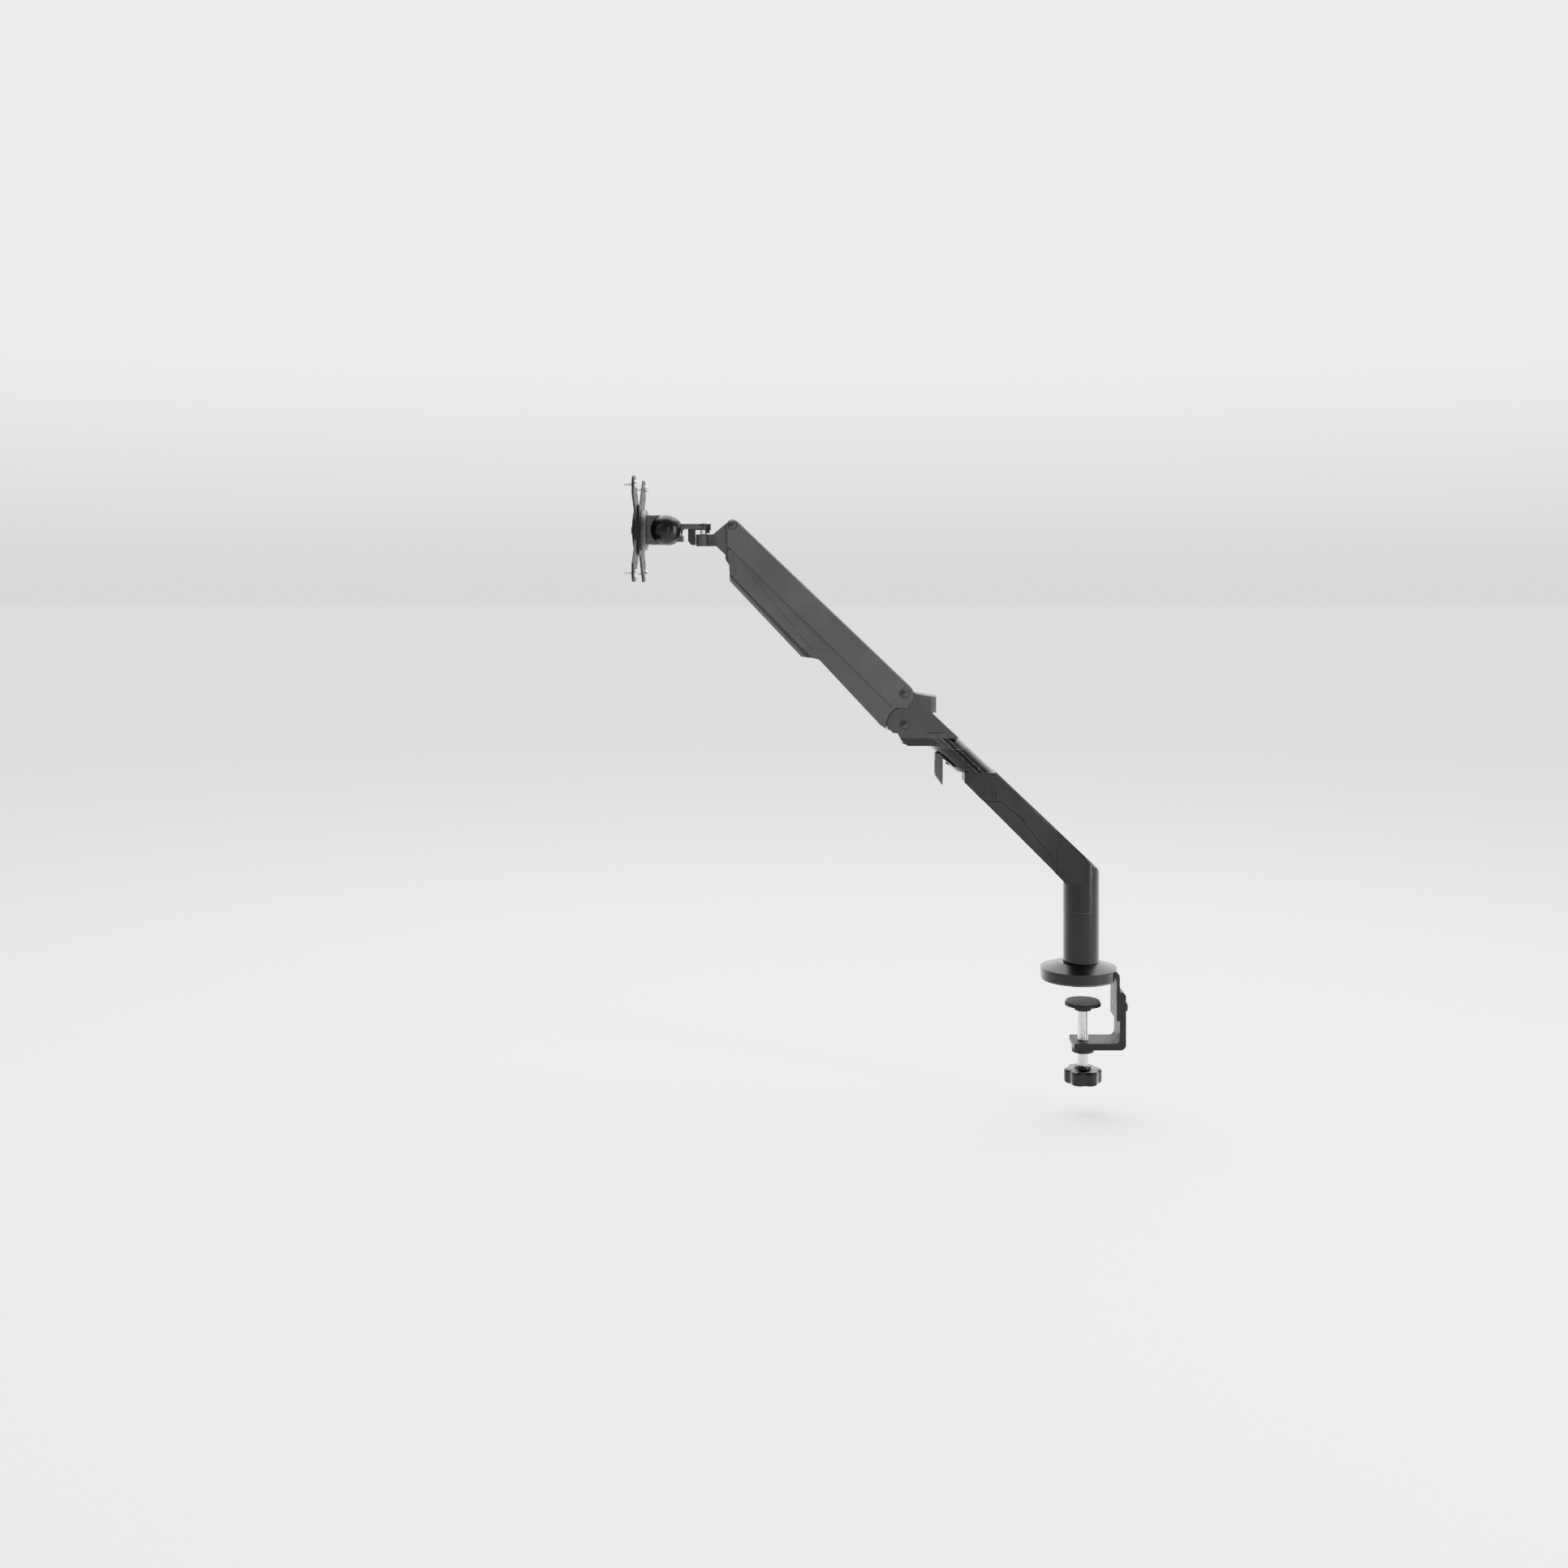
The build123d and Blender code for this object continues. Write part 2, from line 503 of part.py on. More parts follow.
loop_left = LOOP_X - LOOP_W / 2
loop_right = LOOP_X + LOOP_W / 2
with BuildPart() as cable_loop:
    across(SIDE, [
        (loop_left, LOOP_TOP), (loop_right, LOOP_TOP), (loop_right, LOOP_BOTTOM + 2),
        (loop_right - LOOP_TIP, LOOP_BOTTOM), (loop_left, LOOP_BOTTOM + LOOP_SLANT)], LOOP_HALF)
    lower_corners = cable_loop.edges().filter_by(
        lambda e: abs(abs(e.center().Y) - LOOP_HALF) < 0.1 and e.center().Z < LOOP_BOTTOM + LOOP_SLANT
        and abs(e.tangent_at(0.5).X) > 0.3)
    fillet(lower_corners, 3.0)
    # two walls and a foot round the cables, under a saddle on the neck
    slope = LOOP_SLANT / (LOOP_W - LOOP_TIP)
    foot_left = LOOP_BOTTOM + LOOP_SLANT + 1.8 * LOOP_T
    across(SIDE, [
        (loop_left - 2, foot_left + 2 * slope), (loop_right + 2, foot_left - (LOOP_W + 2) * slope),
        (loop_right + 2, LOOP_SADDLE), (loop_left - 2, LOOP_SADDLE)],
        LOOP_HALF - LOOP_T, mode=Mode.SUBTRACT)
    neck(COLLAR_Z, ELBOW_SEAM_Z + 1, NECK_R, mode=Mode.SUBTRACT)
    upright(LOOP_X, 0, LOOP_SCREW_R, LOOP_BOTTOM + 10, LOOP_TOP + 5, mode=Mode.SUBTRACT)
cable_loop.part.label = "cable_loop"

with BuildPart() as loop_screw:
    upright(LOOP_X, 0, LOOP_SCREW_R, LOOP_SADDLE, ELBOW_SEAM_Z - 3.0)
    upright(LOOP_X, 0, 2 * LOOP_SCREW_R, LOOP_SADDLE - 2.2, LOOP_SADDLE)
loop_screw.part.label = "loop_screw"

# ---- elbow bracket: a fork on the swivel -------------------------------------------------
LEDGE_LOW = ELBOW_SEAM_Z + 12.6
LEDGE_HIGH = ELBOW_SEAM_Z + 18.5
CHIN_Z = ELBOW_SEAM_Z + 3.8
BLOCK_BACK_X = ELBOW_X - 16.8
BLOCK_LOW = P[1] - 22.1
BLOCK_FRONT_X = P[0] + 11.6
ANCHOR = (P[0], P[1] - LINK_DROP / 2)
TENSION_X = P[0] + 23.7
TENSION_R = 4.0
SCREW_SEAT_Z = P[1] - 6.8
POCKET_BACK_X = P[0] + 30.6
CARRIAGE_TRAVEL = 1.5
CARRIAGE_HALF = 12.0
CARRIAGE_UP = 6.0
CARRIAGE_DOWN = 3.7
END_SWEEP_R = 17.5  # room for the lower link's corner to swing
COVER_END_R = 21.0  # the lower cover ends on this arc round Q
CHEEK_ARC_R = COVER_END_R - 0.8
LIFT_RANGE = 73.0  # degrees the spring arm goes down from its top position
SHAFT_TOP = ELBOW_SEAM_Z + 10.0


def around(centre, radius, angle):
    """A point on a circle round a pivot."""
    return (centre[0] + radius * cos(radians(angle)), centre[1] + radius * sin(radians(angle)))


def rear_x(z):
    """Leaning rear edge of the elbow."""
    return neck_x(z) + NECK_R


cheek_outline = [
    (rear_x(LEDGE_LOW), LEDGE_LOW),
    (rear_x(BLOCK_LOW), BLOCK_LOW),
    (BLOCK_FRONT_X, P[1] - 1.0),
    around(P, 7.4, 45),
    around(P, 7.5, 90),
    around(P, 7.5, 135),
    around(P, 7.5, 180),
    around(P, 7.4, 208),
    around(Q, 29.8, 98.8),
    around(Q, CHEEK_ARC_R, 73),
    around(Q, CHEEK_ARC_R, 100),
    around(Q, CHEEK_ARC_R, 120),
    around(Q, CHEEK_ARC_R, 140),
    around(Q, CHEEK_ARC_R, 160),
    around(Q, CHEEK_ARC_R, 180),
    around(Q, CHEEK_ARC_R, 196),
    around(Q, 13.0, 207),
    around(Q, 12.6, 220),
    around(Q, 12.6, 232),
    around(Q, 17.0, 254),
    around(Q, 20.0, 268),
    (Q[0] + 3.4, CHIN_Z),
    (neck_x(CHIN_Z) - 6.0, CHIN_Z),
    (neck_x(LEDGE_LOW) - 4.0, LEDGE_LOW),
]
# lowest position of the lower link, for the room it needs between the cheeks
LOWEST = Plane(
    origin=(Q[0], 0, Q[1]),
    x_dir=(-cos(radians(REST_ANGLE - LIFT_RANGE)), 0, sin(radians(REST_ANGLE - LIFT_RANGE))),
    z_dir=(0, 1, 0))

with BuildPart() as elbow_bracket:
    neck(ELBOW_SEAM_Z + SEAM / 2, LEDGE_LOW + 1, NECK_R)
    neck(LEDGE_LOW, LEDGE_HIGH, NECK_R + 0.9)
    both_sides(SIDE, cheek_outline, CHEEK_IN, CHEEK_OUT)
    # solid core behind the pivots, and the chin that joins the cheeks under the link
    across(SIDE, [
        (Q[0] + 6.0, LEDGE_LOW - 6), (BLOCK_FRONT_X, BLOCK_LOW), (BLOCK_FRONT_X, P[1] - 3.0),
        (rear_x(BLOCK_LOW), BLOCK_LOW), (rear_x(LEDGE_LOW), LEDGE_LOW),
        (neck_x(LEDGE_LOW), LEDGE_LOW - 6)], CHEEK_IN + 0.1)
    across(SIDE, [
        (Q[0] - 3.0, CHIN_Z + 3.0), (Q[0] + 5.0, CHIN_Z), (neck_x(CHIN_Z), CHIN_Z),
        (neck_x(LEDGE_HIGH), LEDGE_HIGH), (Q[0] + 4.0, LEDGE_HIGH - 4)], CHEEK_IN + 0.1)
    # tension block with a rounded back and a top that falls to the rear
    with BuildSketch(Plane.XY.offset(BLOCK_LOW)) as block_plan:
        with Locations(((BLOCK_FRONT_X + BLOCK_BACK_X) / 2, 0)):
            Rectangle(BLOCK_BACK_X - BLOCK_FRONT_X, 2 * CHEEK_OUT)
        fillet(block_plan.vertices().group_by(Axis.X)[-1], 8.5)
    extrude(amount=P[1] - BLOCK_LOW + 1)
    across(SIDE, [
        (BLOCK_FRONT_X - 1, P[1] + 1.0), (BLOCK_FRONT_X + 7, P[1] - 1.3),
        (BLOCK_BACK_X + 1, P[1] - 4.2), (BLOCK_BACK_X + 1, P[1] + 4), (BLOCK_FRONT_X - 1, P[1] + 4)],
        CHEEK_OUT + 1, mode=Mode.SUBTRACT)
    # swing room for the lower link
    cross_disc(SIDE, Q, END_SWEEP_R, CHEEK_IN, mode=Mode.SUBTRACT)
    across(LOWEST, [(0, -16.9), (60, -16.9), (60, 20), (0, 20)], CHEEK_IN, mode=Mode.SUBTRACT)
    across(SIDE, [
        (Q[0] - 40, Q[1] + 4), (Q[0] + 8, Q[1] + 14), (BLOCK_FRONT_X, P[1] - 12),
        (BLOCK_FRONT_X, P[1] + 16), (Q[0] - 40, P[1] + 16)], CHEEK_IN, mode=Mode.SUBTRACT)
    # carriage pocket, tension screw bore and its head's counterbore
    pocket_top = ANCHOR[1] + CARRIAGE_UP + CARRIAGE_TRAVEL + SIDE_GAP
    pocket_low = ANCHOR[1] - CARRIAGE_DOWN - CARRIAGE_TRAVEL - SIDE_GAP
    across(SIDE, [
        (P[0] - 8, pocket_top), (P[0] - 8, ANCHOR[1] - 11), (P[0] + 14.5, ANCHOR[1] - 11),
        (P[0] + 16.0, pocket_low), (POCKET_BACK_X, pocket_low), (POCKET_BACK_X, pocket_top)],
        CARRIAGE_HALF + SIDE_GAP, mode=Mode.SUBTRACT)
    upright(TENSION_X, 0, TENSION_R + RUN_FIT, Q[1] - 3.0, P[1] + 2, mode=Mode.SUBTRACT)
    upright(TENSION_X, 0, 6.8, SCREW_SEAT_Z, P[1] + 2, mode=Mode.SUBTRACT)
    # shaft seat and the screw holes of both pivots
    upright(ELBOW_X, 0, SHAFT_R, ELBOW_SEAM_Z, SHAFT_TOP, mode=Mode.SUBTRACT)
    disc_pair(SIDE, P, PIVOT_R, CHEEK_IN - 1, CHEEK_OUT + 1, mode=Mode.SUBTRACT)
    disc_pair(SIDE, Q, PIVOT_R, CHEEK_IN - 1, CHEEK_OUT + 1, mode=Mode.SUBTRACT)
elbow_bracket.part.label = "elbow_bracket"

WEB_T = 4.0
stub_web_z = SHAFT_SHOULDER_Z - 0.2 - WEB_T
with BuildPart() as elbow_shaft:
    upright(ELBOW_X, 0, SHAFT_R, SHAFT_SHOULDER_Z, SHAFT_TOP)
    upright(ELBOW_X, 0, PIVOT_R, stub_web_z - 8.0, SHAFT_SHOULDER_Z)
elbow_shaft.part.label = "elbow_shaft"

with BuildPart() as elbow_nut:
    ring(ELBOW_X, 0, 6.0, PIVOT_R, stub_web_z - 1.0, stub_web_z)
    with BuildSketch(Plane.XY.offset(stub_web_z - 6.0)):
        with Locations((ELBOW_X, 0)):
            RegularPolygon(5.0, 6, major_radius=False)
            Circle(PIVOT_R, mode=Mode.SUBTRACT)
    extrude(amount=5.0)
elbow_nut.part.label = "elbow_nut"

with BuildPart() as tension_screw:
    upright(TENSION_X, 0, TENSION_R, Q[1] - 2.0, SCREW_SEAT_Z)
    upright(TENSION_X, 0, 6.5, SCREW_SEAT_Z, SCREW_SEAT_Z + 4.6)
    with BuildSketch(Plane.XY.offset(SCREW_SEAT_Z + 4.6)):
        with Locations((TENSION_X, 0)):
            RegularPolygon(3.0, 6, major_radius=False)
    extrude(amount=-3.2, mode=Mode.SUBTRACT)
    chamfer(tension_screw.edges().filter_by(GeomType.CIRCLE).sort_by(Axis.Z)[-1:], 0.6)
tension_screw.part.label = "tension_screw"

carriage_low = ANCHOR[1] - CARRIAGE_DOWN
carriage_top = ANCHOR[1] + CARRIAGE_UP
with BuildPart() as anchor_block:
    across(SIDE, [
        (P[0] + 16.4, carriage_low), (POCKET_BACK_X - 0.6, carriage_low),
        (POCKET_BACK_X - 0.6, carriage_top), (P[0] + 16.4, carriage_top)], CARRIAGE_HALF)
    both_sides(SIDE, [
        (P[0] + 17.0, carriage_low), (P[0] + 14.0, carriage_low), (P[0], ANCHOR[1] - 6),
        (P[0] - 6, ANCHOR[1] - 2.5), (P[0] - 6, ANCHOR[1] + 2.5), (P[0], carriage_top),
        (P[0] + 17.0, carriage_top)], 5.0, CARRIAGE_HALF)
    cross_disc(SIDE, ANCHOR, PIVOT_R, CARRIAGE_HALF, mode=Mode.SUBTRACT)
    upright(TENSION_X, 0, TENSION_R + RUN_FIT, carriage_low, carriage_top, mode=Mode.SUBTRACT)
anchor_block.part.label = "anchor_block"

with BuildPart() as anchor_pin:
    cross_disc(SIDE, ANCHOR, PIVOT_R, CARRIAGE_HALF - 0.2)
anchor_pin.part.label = "anchor_pin"


# ---- pivot screws and bushes -------------------------------------------------------------
HEAD_SEAT = ARM_HALF + 0.2

with BuildPart() as shoulder_screws:
    disc_pair(SIDE, P, PIVOT_R, CHEEK_IN, HEAD_SEAT)
    disc_pair(SIDE, P, HEAD_R, HEAD_SEAT, HEAD_SEAT + HEAD_T)
    disc_pair(SIDE, Q, PIVOT_R, LINK_IN, CHEEK_OUT)
    disc_pair(SIDE, Q, HEAD_R, CHEEK_OUT, CHEEK_OUT + HEAD_T)
    for rim in (CHEEK_OUT + HEAD_T, HEAD_SEAT + HEAD_T):
        fillet(shoulder_screws.edges().filter_by(
            lambda e: abs(abs(e.center().Y) - rim) < 0.05), 1.1)
shoulder_screws.part.label = "shoulder_screws"

with BuildPart() as head_screws:
    disc_pair(SIDE, R, PIVOT_R, EAR_HALF - 2.0, HEAD_SEAT)
    disc_pair(SIDE, R, HEAD_R, HEAD_SEAT, HEAD_SEAT + HEAD_T)
    fillet(head_screws.edges().filter_by(
        lambda e: abs(abs(e.center().Y) - HEAD_SEAT - HEAD_T) < 0.05), 1.1)
head_screws.part.label = "head_screws"

with BuildPart() as head_pin:
    cross_disc(SIDE, S, PIVOT_R, LINK_OUT + 0.2)
head_pin.part.label = "head_pin"

with BuildPart() as channel_bushes:
    for centre in (P, R):
        disc_pair(SIDE, centre, BUSH_R, CHANNEL_IN - 0.15, ARM_HALF + 0.1)
        disc_pair(SIDE, centre, PIVOT_R + RUN_FIT, CHANNEL_IN - 0.15, ARM_HALF + 0.1,
                  mode=Mode.SUBTRACT)
channel_bushes.part.label = "channel_bushes"

with BuildPart() as link_bushes:
    for centre in (Q, S):
        disc_pair(SIDE, centre, BUSH_R, LINK_IN - 0.1, LINK_OUT + 0.15)
        disc_pair(SIDE, centre, PIVOT_R + RUN_FIT, LINK_IN - 0.1, LINK_OUT + 0.15,
                  mode=Mode.SUBTRACT)
link_bushes.part.label = "link_bushes"

# ---- spring arm: upper channel -----------------------------------------------------------
TOP_AT_P = 10.6
TOP_AT_R = 7.2
CHANNEL_LOW = -20.3
ROOF_END = LINK_LENGTH - 9.0


def roof(along):
    """Height of the channel's top above the line through its pivots."""
    return TOP_AT_P + (TOP_AT_R - TOP_AT_P) * along / LINK_LENGTH


with BuildPart() as upper_channel:
    channel_outline = [
        (-3.4, roof(-3.4)), (LINK_LENGTH + 15.9, roof(LINK_LENGTH + 15.9)),
        (LINK_LENGTH - 11.1, CHANNEL_LOW), (-2.4, CHANNEL_LOW), (-13.1, -9.8), (-11.2, 2.6)]
    both_sides(UPPER, channel_outline, CHANNEL_IN, ARM_HALF, radius=(4.0, 7.0, 9.0, 3.0, 6.0, 5.0))
    across(UPPER, [
        (-1.5, roof(-1.5)), (ROOF_END, roof(ROOF_END)), (ROOF_END, roof(ROOF_END) - CHANNEL_WALL),
        (-1.5, roof(-1.5) - CHANNEL_WALL)], CHANNEL_IN + 0.1)
    for centre in (P, R):
        disc_pair(SIDE, centre, BUSH_R, CHANNEL_IN, ARM_HALF, mode=Mode.SUBTRACT)
    long_top = upper_channel.edges().filter_by(
        lambda e: e.length > 200 and abs(abs(e.center().Y) - ARM_HALF) < 0.1)
    chamfer(long_top.sort_by(Axis.Z)[-2:], 1.2)
upper_channel.part.label = "upper_channel"

# ---- gas strut ---------------------------------------------------------------------------
STRUT_N = -15.2  # strut axis below the line through the channel's pivots
STRUT_R = 9.0
BORE_R = 7.8
ROD_R = 4.0
STRUT_START = 72.0
STRUT_END = 236.0
STRUT_PIN = 226.0
STRUT_PIN_R = 2.5
GLAND_T = 8.0
PISTON_AT = 150.0
EYE_HALF = 4.5
HANGER_HALF = 12.5
eye_along = -LINK_DROP / 2 * sin(radians(REST_ANGLE))  # the anchor pin along the channel


def strut_bar(radius, start, end, mode=Mode.ADD):
    """A round bar or bore on the strut's axis."""
    at = Plane(
        origin=UPPER.from_local_coords((start, STRUT_N, 0)), x_dir=(0, 1, 0), z_dir=ALONG)
    extrude(disc(at, (0, 0), radius), amount=end - start, mode=mode)


with BuildPart() as strut_cylinder:
    strut_bar(STRUT_R, STRUT_START, STRUT_END)
    strut_bar(BORE_R, STRUT_START + GLAND_T, STRUT_END - 22.0, mode=Mode.SUBTRACT)
    strut_bar(ROD_R + RUN_FIT, STRUT_START, STRUT_START + GLAND_T, mode=Mode.SUBTRACT)
    cross_disc(UPPER, (STRUT_PIN, STRUT_N), STRUT_PIN_R, STRUT_R + 1, mode=Mode.SUBTRACT)
strut_cylinder.part.label = "strut_cylinder"

with BuildPart() as strut_rod:
    strut_bar(ROD_R, eye_along + 7.0, PISTON_AT)
    strut_bar(BORE_R - RUN_FIT, PISTON_AT, PISTON_AT + 6.0)
    across(UPPER, [
        (eye_along - 8.5, STRUT_N - 10.3), (eye_along + 9.0, STRUT_N - 10.3),
        (eye_along + 14.0, STRUT_N - 5.5), (eye_along + 14.0, STRUT_N + 5.5),
        (eye_along + 9.0, STRUT_N + 10.3), (eye_along - 8.5, STRUT_N + 10.3)], EYE_HALF, radius=3.5)
    # the hole is wider than its pin, as the strut stays parallel to the channel
    across(UPPER, [
        (eye_along - 5.2, STRUT_N - 7.5), (eye_along + 5.2, STRUT_N - 7.5),
        (eye_along + 5.2, STRUT_N + 7.5), (eye_along - 5.2, STRUT_N + 7.5)], EYE_HALF, radius=2.8,
        mode=Mode.SUBTRACT)
strut_rod.part.label = "strut_rod"

with BuildPart() as strut_hanger:
    hanger_start = STRUT_PIN - 7.0
    hanger_end = STRUT_PIN + 7.0
    across(UPPER, [
        (hanger_start, roof(hanger_start) - CHANNEL_WALL), (hanger_end, roof(hanger_end) - CHANNEL_WALL),
        (hanger_end, STRUT_N + STRUT_R + 0.3), (hanger_start, STRUT_N + STRUT_R + 0.3)], CHANNEL_IN)
    both_sides(UPPER, [
        (hanger_start, STRUT_N + STRUT_R + 1), (hanger_end, STRUT_N + STRUT_R + 1),
        (hanger_end, STRUT_N - 4.0), (hanger_start, STRUT_N - 4.0)], STRUT_R + 0.3, HANGER_HALF)
    cross_disc(UPPER, (STRUT_PIN, STRUT_N), STRUT_PIN_R, HANGER_HALF, mode=Mode.SUBTRACT)
strut_hanger.part.label = "strut_hanger"

with BuildPart() as strut_pin:
    cross_disc(UPPER, (STRUT_PIN, STRUT_N), STRUT_PIN_R, HANGER_HALF)
strut_pin.part.label = "strut_pin"

# ---- spring arm: lower link and its cover ------------------------------------------------
LINK_BOSS_Q = 11.5
LINK_BOSS_S = 9.0
LINK_LOW = -12.6
LINK_WEB_T = 2.1
LINK_HIGH = 9.0
COVER_TOP = 17.5
WINDOW = [
    (112.0, 14.0), (114.0, 5.2), (120.6, 3.2), (136.5, -12.4), (260.5, 1.3), (262.5, 6.0),
    (258.0, 14.0)]
SCREW_SPOTS = (44.0, 100.0)
COVER_SCREW_R = 1.5
DUCT_START = 129.0

with BuildPart() as lower_link:
    both_sides(LOWER, [
        (0, LINK_HIGH), (LINK_LENGTH, LINK_HIGH), (LINK_LENGTH, -LINK_BOSS_S),
        (LINK_LENGTH - 13, LINK_LOW), (60, LINK_LOW), (20, -15.4), (2.6, -16.2), (-8, -8)],
        LINK_IN, LINK_OUT)
    disc_pair(SIDE, Q, LINK_BOSS_Q, LINK_IN, LINK_OUT)
    disc_pair(SIDE, S, LINK_BOSS_S, LINK_IN, LINK_OUT)
    across(LOWER, [
        (36, LINK_LOW), (LINK_LENGTH - 26, LINK_LOW), (LINK_LENGTH - 26, LINK_LOW + LINK_WEB_T),
        (36, LINK_LOW + LINK_WEB_T)], LINK_IN + 0.1)
    for centre in (Q, S):
        disc_pair(SIDE, centre, BUSH_R, LINK_IN, LINK_OUT, mode=Mode.SUBTRACT)
    for along in SCREW_SPOTS:
        at = Plane(origin=LOWER.from_local_coords((along, LINK_LOW - 1, 0)), z_dir=LOWER.y_dir)
        extrude(disc(at, (0, 0), COVER_SCREW_R), amount=LINK_WEB_T + 2, mode=Mode.SUBTRACT)
lower_link.part.label = "lower_link"


def cover_low(along):
    """Lower edge of the cover's walls."""
    if along < DUCT_START:
        return -19.5 + 4.4 * (along - 20.0) / 102.0
    return -19.3 + 3.0 * (along - DUCT_START) / 135.0


COVER_SIDE = [
    (12.1, COVER_TOP), (10.7, -18.1), (20.0, cover_low(20.0)), (122.0, cover_low(122.0)),
    (DUCT_START, cover_low(DUCT_START)), (264.0, cover_low(264.0)), (281.5, -1.0),
    (284.0, 3.0), (277.0, 10.0), (263.0, COVER_TOP)]

with BuildPart() as lower_cover:
    both_sides(LOWER, COVER_SIDE, COVER_IN, CHEEK_OUT)
    across(LOWER, [
        (21.0, cover_low(21.0)), (122.0, cover_low(122.0)), (DUCT_START, cover_low(DUCT_START)),
        (134.0, cover_low(134.0)), (134.0, cover_low(134.0) + COVER_WALL),
        (121.0, cover_low(121.0) + COVER_WALL), (21.0, cover_low(21.0) + COVER_WALL)],
        COVER_IN + 0.1)
    across(LOWER, [
        (254.0, cover_low(254.0)), (264.0, cover_low(264.0)), (264.0, cover_low(264.0) + COVER_WALL),
        (254.0, cover_low(254.0) + COVER_WALL)], COVER_IN + 0.1)
    cross_disc(SIDE, Q, COVER_END_R, CHEEK_OUT + 1, mode=Mode.SUBTRACT)
    both_sides(LOWER, WINDOW, COVER_IN, CHEEK_OUT, mode=Mode.SUBTRACT)
    for along in SCREW_SPOTS:
        foot = cover_low(along) + 0.4
        at = Plane(origin=LOWER.from_local_coords((along, foot, 0)), z_dir=LOWER.y_dir)
        extrude(disc(at, (0, 0), 4.0), amount=LINK_LOW - foot)
        extrude(disc(at, (0, 0), COVER_SCREW_R), amount=LINK_LOW - foot, mode=Mode.SUBTRACT)
        at = Plane(origin=LOWER.from_local_coords((along, foot - 2, 0)), z_dir=LOWER.y_dir)
        extrude(disc(at, (0, 0), 3.0), amount=3.6, mode=Mode.SUBTRACT)
lower_cover.part.label = "lower_cover"

with BuildPart() as cover_screws:
    for along in SCREW_SPOTS:
        seat = cover_low(along) + 2.0
        at = Plane(origin=LOWER.from_local_coords((along, seat, 0)), z_dir=LOWER.y_dir)
        extrude(disc(at, (0, 0), COVER_SCREW_R), amount=LINK_LOW + LINK_WEB_T - seat)
        extrude(disc(at, (0, 0), 2.8), amount=-1.8)
cover_screws.part.label = "cover_screws"

with BuildPart() as side_panels:
    for start in (COVER_IN, 0.3 - CHEEK_OUT):
        with BuildSketch(LOWER.offset(start)) as panel:
            with BuildLine():
                Polyline(*WINDOW, close=True)
            make_face()
            offset(amount=-0.15)
        extrude(amount=CHEEK_OUT - 0.3 - COVER_IN)
    # rims behind the cover's wall
    for start in (COVER_IN - 1.2, -COVER_IN):
        with BuildSketch(LOWER.offset(start)) as rim:
            with BuildLine():
                Polyline(*WINDOW, close=True)
            make_face()
            offset(amount=1.6)
        extrude(amount=1.2)
side_panels.part.label = "side_panels"

with BuildPart() as duct_cover:
    duct_outline = [
        (DUCT_START, cover_low(DUCT_START) - 0.05), (138.8, -27.1), (258.2, -22.5),
        (264.0, cover_low(264.0) - 0.05)]
    across(LOWER, duct_outline, CHEEK_OUT)
    # the bulge's lower long edges are bevelled
    outer_edges = duct_cover.edges().filter_by(
        lambda e: e.length > 100 and abs(abs(e.center().Y) - CHEEK_OUT) < 0.1)
    chamfer(outer_edges.sort_by(Axis.Z)[:2], 4.0)
    across(LOWER, [
        (137.0, -17.0), (141.0, -25.0), (256.0, -20.4), (258.0, -14.0)], 13.5, mode=Mode.SUBTRACT)
    both_sides(LOWER, [
        (136.0, cover_low(136.0) - 1), (252.0, cover_low(252.0) - 1),
        (252.0, cover_low(252.0) + 3), (136.0, cover_low(136.0) + 3)], LINK_OUT + 0.3, COVER_IN)
duct_cover.part.label = "duct_cover"

# ---- head: bracket and pan joint ---------------------------------------------------------
PAN_X = R[0] - 34.8
BARREL_LOW = R[1] - 23.6
BARREL_TOP = R[1] - 9.6
BARREL_R = 8.6
PAN_BUSH_R = 5.0
PAN_HEAD_R = 5.2
PAN_HEAD_T = 3.4
YOKE_LOW = R[1] - 3.7
YOKE_TOP = R[1] + 2.5
YOKE_HALF = 8.0
CAP_T = 3.0
CAP_START_X = PAN_X - 3.7
TILT = (PAN_X - 42.3, R[1] - 4.9)
TILT_BARREL_R = 13.5
TILT_HALF = 10.0
TILT_PIN_R = 4.0

